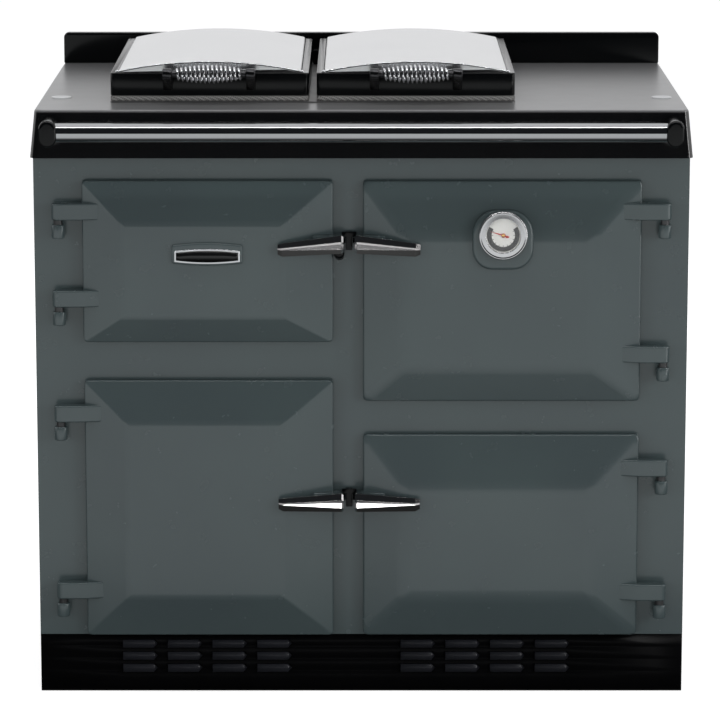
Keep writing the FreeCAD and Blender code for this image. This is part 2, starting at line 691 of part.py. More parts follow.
def burner(chamber_foot):
    """Burner housing on the base plate with its pipe up to the chamber."""
    y0 = PLATE_REAR_Y + BURNER_BACK
    half = BURNER_WIDTH / 2
    body = box(SPIGOT_X - half, SPIGOT_X + half, y0, y0 + BURNER_DEPTH,
               PLINTH_TOP, PLINTH_TOP + BURNER_HEIGHT)
    pipe = rod_z(BLAST_R, SPIGOT_X, y0 + BURNER_DEPTH / 2, PLINTH_TOP, chamber_foot)
    return body.fuse(pipe).removeSplitter()


def control_panel(door):
    """Folded sheet across the top of the lower left aperture, with the knob's hole."""
    x0, x1 = door["hole_x"]
    top = door["hole_z"][1] + OVEN_CLEAR
    y = PLATE_REAR_Y + CONTROL_BACK
    sheet = box(x0, x1, y, y + CONTROL_SHEET, top - CONTROL_HEIGHT, top)
    flange = box(x0, x1, PLATE_REAR_Y, y, top - CONTROL_SHEET, top)
    shape = sheet.fuse(flange)
    return shape.cut(rod_y(KNOB_SHAFT_R + RUN_FIT, KNOB_X, y - BITE, y + CONTROL_SHEET + BITE,
                           top - CONTROL_HEIGHT / 2))


def thermostat_knob(door):
    z = door["hole_z"][1] + OVEN_CLEAR - CONTROL_HEIGHT / 2
    y = PLATE_REAR_Y + CONTROL_BACK
    body = rod_y(KNOB_R, KNOB_X, y - KNOB_DEPTH, y - FIT, z)
    grip_half = KNOB_R - KNOB_GRIP_SHORT
    grip = box(KNOB_X - KNOB_GRIP_HALF, KNOB_X + KNOB_GRIP_HALF, y - KNOB_DEPTH - KNOB_GRIP_REACH,
               y - KNOB_DEPTH, z - grip_half, z + grip_half)
    shaft = rod_y(KNOB_SHAFT_R, KNOB_X, y - FIT, y + CONTROL_SHEET + KNOB_SHAFT_PAST, z)
    return body.fuse([grip, shaft]).removeSplitter()


def insulation(base_rear):
    """Boards behind the ovens and along both sides."""
    inner = PANEL_IN_X - FIT
    y1 = REAR_PANEL_Y - FIT
    rear = box(-inner, inner, y1 - INSULATION_THICK, y1, PLINTH_TOP, LIP_FOOT_Z - FIT)
    rear = rear.cut(rod_y(SPIGOT_R + FIT, SPIGOT_X, y1 - INSULATION_THICK - BITE, y1 + BITE,
                          SPIGOT_Z))
    boards = [rear]
    for side in (-1, 1):
        x0 = min(side * inner, side * (inner - INSULATION_THICK))
        boards.append(box(x0, x0 + INSULATION_THICK, PLATE_REAR_Y + FIT,
                          y1 - INSULATION_THICK - FIT, PLINTH_TOP, LIP_FOOT_Z - FIT))
    return boards


# ------------------------------------------------------------------ doors
def door_outline(door, inset):
    x0, x1 = door["x"]
    z0, z1 = door["z"]
    return x0 + inset, x1 - inset, z0 + inset, z1 - inset


def plateau_outline(door, inset):
    """Flat middle of the door face, inside the four bevels."""
    left, right, low, high = door["bevel"]
    if door["side"] > 0:
        left, right = right, left
    x0, x1 = door["x"]
    z0, z1 = door["z"]
    return x0 + left + inset, x1 - right - inset, z0 + low + inset, z1 - high - inset


def outline_wire(extent, radius, reach):
    return rounded_wire(extent[0], extent[1], extent[2], extent[3], radius, at_reach(reach))


def door_form(door):
    """Skirt and bevels as one solid, before it is hollowed."""
    skirt = Part.Face(outline_wire(door_outline(door, 0), DOOR_CORNER, DOOR_REAR))
    skirt = skirt.extrude(Vec(0, DOOR_REAR - DOOR_EDGE, 0))
    rise = DOOR_FACE - DOOR_EDGE
    outlines = []
    for inset, height in door["profile"]:
        extent = [edge + (face - edge) * inset
                  for edge, face in zip(door_outline(door, 0), plateau_outline(door, 0))]
        outlines.append(outline_wire(extent, DOOR_CORNER, DOOR_EDGE + rise * height))
    bevel = Part.makeLoft(outlines, True, True)
    return skirt.fuse(bevel)


def door_cavity(door):
    """Hollow behind the bevels, closed by the liner."""
    wall = DOOR_WALL
    seat = Part.Face(outline_wire(door_outline(door, wall), DOOR_CORNER, DOOR_REAR - BITE))
    seat = seat.extrude(Vec(0, DOOR_REAR - BITE - LINER_REAR - LINER_THICK, 0))
    low = LINER_REAR + LINER_THICK
    hollow = Part.makeLoft([outline_wire(door_outline(door, 2 * wall), DOOR_CORNER, low),
                            outline_wire(plateau_outline(door, wall), DOOR_CORNER,
                                         DOOR_FACE - wall - BITE)], True, True)
    return seat.fuse(hollow)


def hinge_arm(door, z):
    """Arm from the bevel out to its eye, with a blind bore from below."""
    side = door["side"]
    eye_x = side * HINGE_X
    edge_x = door["x"][0] if side < 0 else door["x"][1]
    root_x = edge_x - side * ARM_ROOT
    low = z - ARM_HEIGHT / 2
    back = HINGE_REACH - ARM_END_R
    front = HINGE_REACH + ARM_END_R
    plan = polygon_face([
        Vec(eye_x, reach_y(back), low), Vec(eye_x, reach_y(front), low),
        Vec(edge_x, reach_y(front - ARM_FALL), low),
        Vec(root_x, reach_y(front - ARM_ROOT_FALL), low),
        Vec(root_x, reach_y(DOOR_EDGE - ARM_SINK), low), Vec(edge_x, reach_y(back), low)])
    arm = plan.extrude(Vec(0, 0, ARM_HEIGHT))
    return arm.fuse(rod_z(ARM_END_R, eye_x, reach_y(HINGE_REACH), low, low + ARM_HEIGHT))


def hinge_bore(door, z):
    low = z - ARM_HEIGHT / 2
    return rod_z(PIN_R + RUN_FIT, door["side"] * HINGE_X, reach_y(HINGE_REACH), low - BITE,
                 low + PIN_RISE + BITE)


def spindle_x(door):
    return KEEPER_X + door["side"] * SPINDLE_SPREAD / 2


def latch_lug(door):
    """Boss at the door's free edge that carries the latch spindle."""
    x = spindle_x(door)
    z = door["latch_z"]
    root = x + door["side"] * LUG_ROOT
    lug = slab(min(x, root), max(x, root), LUG_LOW, LUG_HIGH, z - LUG_R, z + LUG_R)
    return lug.fuse(pin_ahead(LUG_R, x, LUG_LOW, LUG_HIGH, z))


def door_casting(name, door):
    shape = door_form(door)
    shape = shape.fuse([hinge_arm(door, z) for z in door["arms"]] + [latch_lug(door)])
    if name == "upper_right":
        shape = shape.fuse(gauge_pad())
    shape = shape.cut(door_cavity(door))
    shape = shape.cut([hinge_bore(door, z) for z in door["arms"]])
    x = spindle_x(door)
    z = door["latch_z"]
    shape = shape.cut(pin_ahead(SPINDLE_R + RUN_FIT, x, 0.0, DOOR_FACE + BITE, z))
    shape = shape.cut(pin_ahead(NOTCH_R, x, 0.0, LUG_LOW, z))
    if name == "upper_right":
        shape = shape.cut(pin_ahead(PROBE_R + FIT, GAUGE_X, 0.0, PAD_FACE + BITE, GAUGE_Z))
    return shape.removeSplitter()


def door_liner(name, door):
    """Flat inner plate that closes the door's back."""
    x0, x1, z0, z1 = door_outline(door, DOOR_WALL + FIT)
    shape = rounded_tile(x0, x1, LINER_REAR, LINER_REAR + LINER_THICK - FIT / 3, z0, z1,
                         DOOR_CORNER)
    x = spindle_x(door)
    shape = shape.cut(pin_ahead(NOTCH_R, x, 0.0, LUG_LOW, door["latch_z"]))
    if name == "upper_right":
        shape = shape.cut(pin_ahead(PROBE_R + FIT, GAUGE_X, 0.0, LUG_LOW, GAUGE_Z))
    return shape


def hinge_knuckles():
    """Fixed posts under the hinge arms, on webs from the front plate."""
    posts = []
    y = reach_y(HINGE_REACH)
    for door in DOORS.values():
        x = door["side"] * HINGE_X
        for arm_z in door["arms"]:
            top = arm_z - ARM_HEIGHT / 2 - KNUCKLE_GAP
            low = top - KNUCKLE_HEIGHT
            post = rod_z(KNUCKLE_R, x, y, low, top)
            web = slab(x - KNUCKLE_WEB / 2, x + KNUCKLE_WEB / 2, 0.0, HINGE_REACH, low, top)
            post = post.fuse(web).cut(rod_z(PIN_R, x, y, top - PIN_SINK, top + BITE))
            posts.append(post.removeSplitter())
    return posts


def hinge_pins():
    """Shoulder pins that stand in the posts and carry the arms."""
    pins = []
    y = reach_y(HINGE_REACH)
    for door in DOORS.values():
        x = door["side"] * HINGE_X
        for arm_z in door["arms"]:
            arm_foot = arm_z - ARM_HEIGHT / 2
            top = arm_foot - KNUCKLE_GAP
            pin = rod_z(PIN_R, x, y, top - PIN_SINK, arm_foot + PIN_RISE)
            collar = rod_z(PIN_COLLAR_R, x, y, top, arm_foot - COLLAR_PLAY)
            pins.append(pin.fuse(collar).removeSplitter())
    return pins


# ------------------------------------------------------------------ latches
def latch_lever(door):
    """Faceted wedge lever: its plan and its elevation cut from one another."""
    side = door["side"]
    z = door["latch_z"]
    hub = spindle_x(door) - side * LUG_R
    tip = hub + side * LEVER_LENGTH
    neck = hub + side * LEVER_NECK
    nose = tip + side * LEVER_TIP_SLANT
    half = LEVER_HUB_HEIGHT / 2
    tip_top = z - door["droop"] + LEVER_TIP_HEIGHT / 2
    tip_foot = z - door["droop"] - LEVER_TIP_HEIGHT / 2
    plan = polygon_face([
        Vec(hub, reach_y(LEVER_LOW), z - 2 * half),
        Vec(neck, reach_y(LEVER_LOW + BITE), z - 2 * half),
        Vec(tip, reach_y(LEVER_TIP_LOW), z - 2 * half),
        Vec(nose, reach_y(LEVER_TIP_HIGH), z - 2 * half),
        Vec(neck, reach_y(LEVER_HIGH), z - 2 * half),
        Vec(hub, reach_y(LEVER_HIGH - LEVER_HUB_FALL), z - 2 * half)])
    side_view = polygon_face([
        Vec(hub, reach_y(0), z - half), Vec(neck, reach_y(0), z - half),
        Vec(nose, reach_y(0), tip_foot), Vec(nose, reach_y(0), tip_top),
        Vec(neck, reach_y(0), z + half), Vec(hub, reach_y(0), z + half)])
    brow = LEVER_HIGH - LEVER_CHAMFER
    far_x = min(hub, tip) - LUG_R
    section = polygon_face([
        Vec(far_x, reach_y(0), z - half), Vec(far_x, reach_y(brow), z - half),
        Vec(far_x, reach_y(LEVER_HIGH), z - half + LEVER_CHAMFER),
        Vec(far_x, reach_y(LEVER_HIGH), z + half - 1.5 * LEVER_CHAMFER),
        Vec(far_x, reach_y(brow), z + half), Vec(far_x, reach_y(0), z + half)])
    lever = plan.extrude(Vec(0, 0, 4 * half))
    lever = lever.common(side_view.extrude(Vec(0, -2 * LEVER_HIGH, 0)))
    lever = lever.common(section.extrude(Vec(2 * LEVER_LENGTH, 0, 0)))
    return lever.cut(pin_ahead(SPINDLE_R, spindle_x(door), 0.0, LEVER_HIGH - SPINDLE_SINK, z))


def latch_spindle(door):
    """Spindle through the lug with its catch behind the door edge."""
    x = spindle_x(door)
    z = door["latch_z"]
    pin = pin_ahead(SPINDLE_R, x, CATCH_LOW, LEVER_HIGH - SPINDLE_SINK, z)
    tip = x - door["side"] * CATCH_LENGTH
    catch = slab(min(x, tip), max(x, tip), CATCH_LOW, CATCH_HIGH,
                 z - CATCH_HEIGHT / 2, z + CATCH_HEIGHT / 2)
    return pin.fuse(catch).removeSplitter()


def latch_keepers():
    """Keepers on the strip between the doors, and one round buffer."""
    half_width = SPINDLE_SPREAD / 2 - CATCH_LENGTH - 2 * FIT
    pieces = []
    for z in (UPPER_LATCH_Z, LOWER_LATCH_Z):
        post = slab(KEEPER_X - half_width, KEEPER_X + half_width, 0.0, KEEPER_REACH,
                    z - KEEPER_HALF, z + KEEPER_HALF)
        lip_z = z + CATCH_HEIGHT / 2 + KEEPER_PLAY
        reach = half_width + KEEPER_WING
        lip = slab(KEEPER_X - reach, KEEPER_X + reach, KEEPER_REACH - KEEPER_LIP, KEEPER_REACH,
                   lip_z, z + KEEPER_HALF)
        pieces.append(post.fuse(lip).removeSplitter())
    pieces.append(pin_ahead(BUFFER_R, BUFFER_X, 0.0, BUFFER_REACH, UPPER_LATCH_Z - BUFFER_DROP))
    return pieces


# ------------------------------------------------------------------ badge and thermometer
def badge():
    """Rounded lozenge rim and its bare field on the upper left door."""
    half = BADGE_LENGTH / 2
    tall = BADGE_HEIGHT / 2
    rim = rounded_tile(BADGE_X - half, BADGE_X + half, DOOR_FACE, DOOR_FACE + BADGE_RIM_REACH,
                       BADGE_Z - tall, BADGE_Z + tall, tall - HAIR)
    half -= BADGE_RIM
    tall -= BADGE_RIM
    field = rounded_tile(BADGE_X - half, BADGE_X + half, DOOR_FACE, DOOR_FACE + BADGE_RIM_REACH + BITE,
                         BADGE_Z - tall, BADGE_Z + tall, tall - HAIR)
    inlay = rounded_tile(BADGE_X - half, BADGE_X + half, DOOR_FACE,
                         DOOR_FACE + BADGE_INLAY_REACH, BADGE_Z - tall, BADGE_Z + tall,
                         tall - HAIR)
    return rim.cut(field), inlay


def gauge_pad():
    """Soft-cornered pad that lifts the thermometer off the bevel."""
    half = PAD_WIDTH / 2
    low = GAUGE_Z - PAD_BELOW
    high = GAUGE_Z + PAD_ABOVE
    pad = rounded_tile(GAUGE_X - half, GAUGE_X + half, DOOR_EDGE, PAD_FACE, low, high, PAD_ROUND)
    face_y = reach_y(PAD_FACE)
    rim = [e for e in pad.Edges if abs(e.BoundBox.YMax - face_y) < 0.01]
    return pad.makeFillet(PAD_PROUD / 2, rim)


def gauge_disc(radius, low, high):
    """Disc on the thermometer's axis, between two reaches from the pad."""
    return pin_ahead(radius, GAUGE_X, PAD_FACE + low, PAD_FACE + high, GAUGE_Z)


def thermometer():
    case = gauge_disc(CASE_R, 0.0, CASE_REACH)
    case = case.cut(gauge_disc(CASE_R - CASE_WALL, CASE_WALL, CASE_REACH + BITE))
    probe = pin_ahead(PROBE_R, GAUGE_X, PAD_FACE - PROBE_LENGTH, PAD_FACE, GAUGE_Z)
    post = gauge_disc(POINTER_PIN_R, CASE_WALL, DIAL_REACH + POINTER_LIFT + POINTER_THICK)
    case = case.fuse([probe, post]).removeSplitter()
    dial = gauge_disc(CASE_R - CASE_WALL - FIT, DIAL_REACH - DIAL_THICK, DIAL_REACH)
    dial = dial.fuse(gauge_disc(CASE_R - CASE_WALL - FIT, CASE_WALL, DIAL_REACH - DIAL_THICK))
    dial = dial.cut(gauge_disc(POINTER_PIN_R + RUN_FIT, 0.0, DIAL_REACH + BITE)).removeSplitter()
    bezel = gauge_disc(BEZEL_R, 0.0, BEZEL_REACH)
    bezel = bezel.cut(gauge_disc(CASE_R + RUN_FIT, -BITE, CASE_REACH + GLASS_THICK + RUN_FIT))
    bezel = bezel.cut(gauge_disc(BEZEL_BORE_R, 0.0, BEZEL_REACH + BITE))
    glass = gauge_disc(CASE_R - FIT, CASE_REACH, CASE_REACH + GLASS_THICK)
    return case, dial, bezel, glass


def thermometer_pointer():
    """Balanced needle on its own pin, lying at the cold mark."""
    low = DIAL_REACH + POINTER_LIFT
    high = low + POINTER_THICK
    half = POINTER_WIDTH / 2
    y = reach_y(PAD_FACE + high)
    blade = polygon_face([Vec(-POINTER_TAIL, y, -half), Vec(0, y, -half),
                          Vec(POINTER_LENGTH, y, 0), Vec(0, y, half), Vec(-POINTER_TAIL, y, half)])
    blade = blade.extrude(Vec(0, POINTER_THICK, 0))
    blade.rotate(Vec(0, 0, 0), Y_AXIS, -POINTER_ANGLE)
    blade.translate(Vec(GAUGE_X, 0, GAUGE_Z))
    hub = gauge_disc(POINTER_HUB_R, low, high + POINTER_THICK)
    shape = blade.fuse(hub)
    return shape.cut(gauge_disc(POINTER_PIN_R + RUN_FIT, 0.0, high + HAIR)).removeSplitter()


# ------------------------------------------------------------------ lids
def lug_places(middle):
    """X of the two hinges of one lid."""
    return middle - LID_HINGE_SPREAD / 2, middle + LID_HINGE_SPREAD / 2


def lid_rim(middle):
    """Cast tray under the dome, with hinge lugs behind."""
    half = LID_WIDTH / 2
    tray = rounded_block(middle - half, middle + half, LID_FRONT_Y, LID_REAR_Y,
                         RIM_FOOT_Z, RIM_TOP_Z, LID_CORNER)
    hollow = box(middle - half + RIM_WALL, middle + half - RIM_WALL, LID_FRONT_Y + RIM_WALL,
                 LID_REAR_Y - RIM_WALL, RIM_FOOT_Z + RIM_FLOOR, RIM_TOP_Z + BITE)
    tray = tray.cut(hollow)
    lugs = []
    bores = []
    for x in lug_places(middle):
        for side in (-1, 1):
            near = x + side * (LID_BLOCK_WIDTH / 2 + LID_SIDE_GAP)
            x0 = min(near, near + side * LID_LUG_WIDTH)
            eye = rod_x(LID_EYE_R, x0, x0 + LID_LUG_WIDTH, LID_PIVOT_Y, LID_PIVOT_Z)
            web = box(x0, x0 + LID_LUG_WIDTH, LID_REAR_Y - BITE, LID_PIVOT_Y,
                      LID_PIVOT_Z - LID_EYE_R, RIM_TOP_Z)
            lugs.append(eye.fuse(web))
            bores.append(rod_x(LID_PIN_R + RUN_FIT, x0 - BITE, x0 + LID_LUG_WIDTH + BITE,
                               LID_PIVOT_Y, LID_PIVOT_Z))
    return tray.fuse(lugs).cut(bores).removeSplitter()


def arch_prism(middle, half, foot, shoulder, crown, y0, y1):
    """Block along Y whose top is one arc from side to side."""
    start = Vec(middle - half, y0, shoulder)
    end = Vec(middle + half, y0, shoulder)
    arc = Part.Arc(start, Vec(middle, y0, crown), end).toShape()
    legs = [Part.makeLine(end, Vec(middle + half, y0, foot)),
            Part.makeLine(Vec(middle + half, y0, foot), Vec(middle - half, y0, foot)),
            Part.makeLine(Vec(middle - half, y0, foot), start)]
    return Part.Face(Part.Wire([arc] + legs)).extrude(Vec(0, y1 - y0, 0))


def lid_dome(middle):
    """Arched sheet cover, closed at both ends, standing on the rim."""
    half = LID_WIDTH / 2 - DOME_INSET
    y0 = LID_FRONT_Y + DOME_INSET
    y1 = LID_REAR_Y - DOME_INSET
    shoulder = RIM_TOP_Z + DOME_SHOULDER
    outer = arch_prism(middle, half, RIM_TOP_Z, shoulder, shoulder + DOME_RISE, y0, y1)
    sheet = DOME_SHEET
    inner = arch_prism(middle, half - sheet, RIM_TOP_Z - BITE, shoulder - sheet,
                       shoulder + DOME_RISE - sheet, y0 + sheet, y1 - sheet)
    return outer.cut(inner)


def handle_mounts(middle):
    """Two cast brackets in front of the rim, and the rod inside the coil."""
    half = COIL_LENGTH / 2 + HANDLE_COLLAR
    pieces = []
    for side in (-1, 1):
        near = middle + side * half
        x0 = min(near, near + side * HANDLE_BRACKET_WIDTH)
        foot = polygon_face([Vec(x0, LID_FRONT_Y, RIM_FOOT_Z + BRACKET_FOOT),
                             Vec(x0, LID_FRONT_Y, RIM_TOP_Z),
                             Vec(x0, HANDLE_Y, HANDLE_Z + BRACKET_RISE),
                             Vec(x0, HANDLE_Y, HANDLE_Z - BRACKET_DROP)])
        arm = foot.extrude(Vec(HANDLE_BRACKET_WIDTH, 0, 0))
        eye = rod_x(HANDLE_EYE_R, x0, x0 + HANDLE_BRACKET_WIDTH, HANDLE_Y, HANDLE_Z)
        pieces.append(arm.fuse(eye))
        inner = middle + side * (COIL_LENGTH / 2 - COIL_PITCH)
        pieces.append(rod_x(COIL_END_R - COIL_WIRE_R - FIT, min(near, inner), max(near, inner),
                            HANDLE_Y, HANDLE_Z))
    rod = rod_x(HANDLE_ROD_R, middle - half, middle + half, HANDLE_Y, HANDLE_Z)
    return rod.fuse(pieces).removeSplitter()


def coil_point(middle, turn):
    """Place and direction of the wire after this many turns of the barrel coil."""
    share = turn / COIL_TURNS
    swell = COIL_MIDDLE_R - COIL_END_R
    radius = COIL_MIDDLE_R - swell * (2 * share - 1) ** 2
    slope = -4 * swell * (2 * share - 1) / COIL_TURNS
    angle = 2 * math.pi * turn
    place = Vec(middle - COIL_LENGTH / 2 + COIL_PITCH * turn,
                HANDLE_Y + radius * math.cos(angle), HANDLE_Z + radius * math.sin(angle))
    spin = 2 * math.pi * radius
    direction = Vec(COIL_PITCH, slope * math.cos(angle) - spin * math.sin(angle),
                    slope * math.sin(angle) + spin * math.cos(angle))
    return place, direction.normalize()


def arc_from(start, direction, end):
    """Arc that leaves start along direction and ends at end."""
    chord = end - start
    along = Vec(chord).normalize()
    across = direction - along * direction.dot(along)
    bend = math.acos(max(-1.0, min(1.0, direction.dot(along))))
    middle = start + chord * 0.5 + across.normalize() * (chord.Length / 2 * math.tan(bend / 2))
    return Part.Arc(start, middle, end).toShape()


def biarc(p0, t0, p1, t1):
    """Two tangent arcs between two places with given directions."""
    chord = p1 - p0
    both = t0 + t1
    a = 2 * (1 - t0.dot(t1))
    b = chord.dot(both)
    reach = (-b + math.sqrt(b * b + a * chord.dot(chord))) / a
    joint = (p0 + p1 + (t0 - t1) * reach) * 0.5
    second = arc_from(p1, t1 * -1, joint)
    return [arc_from(p0, t0, joint), second]


def coil_path(middle):
    """Edges of the coil's centre line, quarter turn by quarter turn, with straight ends."""
    steps = COIL_TURNS * 4
    stops = [coil_point(middle, index / 4) for index in range(steps + 1)]
    stub = 2 * COIL_WIRE_R
    first, start_way = stops[0]
    last, end_way = stops[-1]
    edges = [Part.makeLine(first - start_way * stub, first)]
    for (p0, t0), (p1, t1) in zip(stops, stops[1:]):
        edges += biarc(p0, t0, p1, t1)
    edges.append(Part.makeLine(last, last + end_way * stub))
    return edges, first - start_way * stub, start_way


def handle_coil(middle):
    edges, start, way = coil_path(middle)
    section = Part.Wire([Part.makeCircle(COIL_WIRE_R, start, way)])
    shell = Part.BRepOffsetAPI.MakePipeShell(Part.Wire(edges))
    shell.add(section)
    shell.build()
    shell.makeSolid()
    return shell.shape()


def coil_gap(middle):
    """Least gap between the wire and its own neighbouring turn."""
    samples = 24
    points = [coil_point(middle, index / samples)[0]
              for index in range(COIL_TURNS * samples + 1)]
    least = min((points[i] - points[j]).Length
                for i in range(len(points))
                for j in range(i + samples // 2, min(i + 2 * samples, len(points))))
    return least - 2 * COIL_WIRE_R


def lid_hinge_blocks():
    """Posts behind the lids, and the low block in the gap between them."""
    posts = []
    for middle in LIDS.values():
        for x in lug_places(middle):
            x0 = x - LID_BLOCK_WIDTH / 2
            x1 = x + LID_BLOCK_WIDTH / 2
            post = box(x0, x1, LID_PIVOT_Y - LID_EYE_R, LID_PIVOT_Y + LID_EYE_R,
                       TOP_HEIGHT, LID_PIVOT_Z)
            post = post.fuse(rod_x(LID_EYE_R, x0, x1, LID_PIVOT_Y, LID_PIVOT_Z))
            post = post.cut(rod_x(LID_PIN_R, x0 - BITE, x1 + BITE, LID_PIVOT_Y, LID_PIVOT_Z))
            posts.append(post.removeSplitter())
    half = CENTRE_BLOCK_WIDTH / 2
    y0 = LID_REAR_Y + HOTPLATE_MARGIN + FIT
    posts.append(box(LID_PAIR_X - half, LID_PAIR_X + half, y0, y0 + CENTRE_BLOCK_DEPTH,
                     TOP_HEIGHT, TOP_HEIGHT + CENTRE_BLOCK_HEIGHT))
    return posts


def lid_hinge_pins():
    half = LID_BLOCK_WIDTH / 2 + LID_SIDE_GAP + LID_LUG_WIDTH
    return [rod_x(LID_PIN_R, x - half, x + half, LID_PIVOT_Y, LID_PIVOT_Z)
            for middle in LIDS.values() for x in lug_places(middle)]


# ------------------------------------------------------------------ build
def build_cabinet():
    base_front = PLATE_REAR_Y
    base_rear = REAR_PANEL_Y
    save("levelling_feet", group(levelling_feet(base_front, base_rear)))
    save("base_plate", base_plate(base_front, base_rear))
    save("plinth", plinth())
    save("front_plate", front_plate())
    save("top_plate", top_plate())
    save("rear_upstand", rear_upstand())
    save("hotplate", hotplate())
    save("lid_seals", group(lid_seals()))
    save("bolt_caps", group(bolt_caps()))
    save("rail_tube", rail_tube())
    save("rail_brackets", group(rail_brackets(top_outline())))
    left, right, rear = casing_panels()
    save("left_side_panel", left)
    save("right_side_panel", right)
    save("rear_panel", rear)
    save("door_seals", group([seal_ring(door, -SEAL_SINK, LINER_REAR - FIT, FIT / 3)
                              for door in DOORS.values()]))
    save("hinge_knuckles", group(hinge_knuckles()))
    save("hinge_pins", group(hinge_pins()))
    save("latch_keepers", group(latch_keepers()))
    save("lid_hinge_blocks", group(lid_hinge_blocks()))
    save("lid_hinge_pins", group(lid_hinge_pins()))
    save("insulation_boards", group(insulation(base_rear)))


def build_inside():
    main = DOORS["upper_right"]
    lower = DOORS["lower_right"]
    fire = DOORS["upper_left"]
    save("main_oven", oven(main, MAIN_SHELF_LEVELS + (MAIN_SPARE_LEVEL,)))
    save("lower_oven", oven(lower, (LOWER_SHELF_LEVEL, LOWER_SPARE_LEVEL)))
    shelves = [wire_shelf(main, level) for level in MAIN_SHELF_LEVELS]
    save("oven_shelves", group(shelves + [wire_shelf(lower, LOWER_SHELF_LEVEL)]))
    chamber = open_box(fire["hole_x"], fire["hole_z"], OVEN_CLEAR, CHAMBER_WALL, CHAMBER_DEPTH)
    rear = PLATE_REAR_Y + CHAMBER_DEPTH
    chamber = chamber.cut(rod_y(SPIGOT_R - SPIGOT_WALL, SPIGOT_X, rear - 2 * CHAMBER_WALL,
                                rear + BITE, SPIGOT_Z))
    save("combustion_chamber", chamber)
    save("flue_outlet", flue_outlet(rear))
    save("burner", burner(fire["hole_z"][0] - OVEN_CLEAR - CHAMBER_WALL))
    save("control_panel", control_panel(DOORS["lower_left"]))
    save("thermostat_knob", thermostat_knob(DOORS["lower_left"]))


def build_doors():
    for name, door in DOORS.items():
        save(name + "_door", door_casting(name, door))
        save(name + "_door_liner", door_liner(name, door))
        save(name + "_latch_lever", latch_lever(door))
        save(name + "_latch_spindle", latch_spindle(door))
    rim, inlay = badge()
    save("badge_rim", rim)
    save("badge_inlay", inlay)
    case, dial, bezel, glass = thermometer()
    save("thermometer_case", case)
    save("thermometer_dial", dial)
    save("thermometer_bezel", bezel)
    save("thermometer_glass", glass)
    save("thermometer_pointer", thermometer_pointer())


def build_lids():
    for name, middle in LIDS.items():
        save(name + "_rim", lid_rim(middle))
        save(name + "_dome", lid_dome(middle))
        save(name + "_handle_mounts", handle_mounts(middle))
        save(name + "_handle_coil", handle_coil(middle))
        print(name, "coil: least gap to itself", round(coil_gap(middle), 2), "mm")


def main():
    os.makedirs("parts", exist_ok=True)
    build_cabinet()
    build_inside()
    build_doors()
    build_lids()


main()
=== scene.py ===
"""Looks of a cast iron range cooker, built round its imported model. Lengths are metres."""
import math

import bmesh
import bpy
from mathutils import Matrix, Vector


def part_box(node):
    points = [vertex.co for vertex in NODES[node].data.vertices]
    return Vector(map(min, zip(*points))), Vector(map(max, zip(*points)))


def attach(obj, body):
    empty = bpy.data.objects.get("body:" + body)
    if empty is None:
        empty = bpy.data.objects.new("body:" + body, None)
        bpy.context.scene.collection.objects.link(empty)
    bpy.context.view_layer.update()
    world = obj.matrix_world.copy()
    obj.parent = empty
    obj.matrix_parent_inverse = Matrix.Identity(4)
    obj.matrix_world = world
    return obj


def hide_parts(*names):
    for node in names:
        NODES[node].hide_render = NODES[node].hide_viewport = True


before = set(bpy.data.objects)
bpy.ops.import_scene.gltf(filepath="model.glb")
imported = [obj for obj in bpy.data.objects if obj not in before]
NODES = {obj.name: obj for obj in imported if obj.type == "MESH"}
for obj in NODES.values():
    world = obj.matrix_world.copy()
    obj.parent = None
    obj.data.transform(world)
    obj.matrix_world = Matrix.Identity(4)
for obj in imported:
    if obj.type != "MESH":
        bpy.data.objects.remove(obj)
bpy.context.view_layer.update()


# ---------------------------------------------------------------- camera
# The cooker is seen from straight in front and a little above, from about six metres,
# with a long lens.
CAMERA_AT = (-0.0022, -5.9773, 1.6315)
CAMERA_DROP = 0.1928                    # radians below level
CAMERA_LENS_MM = 192.10

camera = bpy.data.objects.new("camera", bpy.data.cameras.new("camera"))
camera.data.lens = CAMERA_LENS_MM
camera.data.clip_end = 60.0
camera.location = CAMERA_AT
camera.rotation_euler = (math.pi / 2 - CAMERA_DROP, 0.0, 0.0)
bpy.context.scene.collection.objects.link(camera)
bpy.context.scene.camera = camera
bpy.context.scene.view_settings.view_transform = "Standard"


# ---------------------------------------------------------------- studio
# A pale floor in a white room. Gloss sees the white wall behind and above the cooker, a dark
# end of the studio in front, and the floor, painted dimmer the closer it is to the cooker: a
# painted shadow.
WHITE = (1.0, 1.0, 1.0, 1.0)
FLOOR_HALF = 14.0
FRONT_DIM = (0.016, 0.018, 0.020, 1.0)
WALL_SHEEN = (0.92, 0.92, 0.93, 1.0)
AMBIENT = (0.46, 0.47, 0.48, 1.0)
LEAN_RIGHT = 0.18                       # the bright wall comes further round on the right
SHEEN_EDGE = (-0.26, -0.06)             # where the dark end turns into the wall
PAINTED_SHADE_Y = (-1.15, -0.50)
FLOOR_SHARE = 0.60
FLOOR_SHARE_HIGH = 0.618
FLOOR_GLOW = 0.74
# What gloss sees of the floor: bright far off, painted shade nearer the cooker and a painted
# shadow right in front of it.
GLOSS_FLOOR_PAINTED_SHADE = (0.13, 0.135, 0.135, 1.0)
GLOSS_FLOOR_FAR = (0.82, 0.84, 0.84, 1.0)
PAINTED_SHADOW_Y = (-0.66, -0.42)          # painted shadow, darkest right in front of the cooker
GLOSS_FLOOR_PAINTED_SHADOW = (0.025, 0.026, 0.026, 1.0)


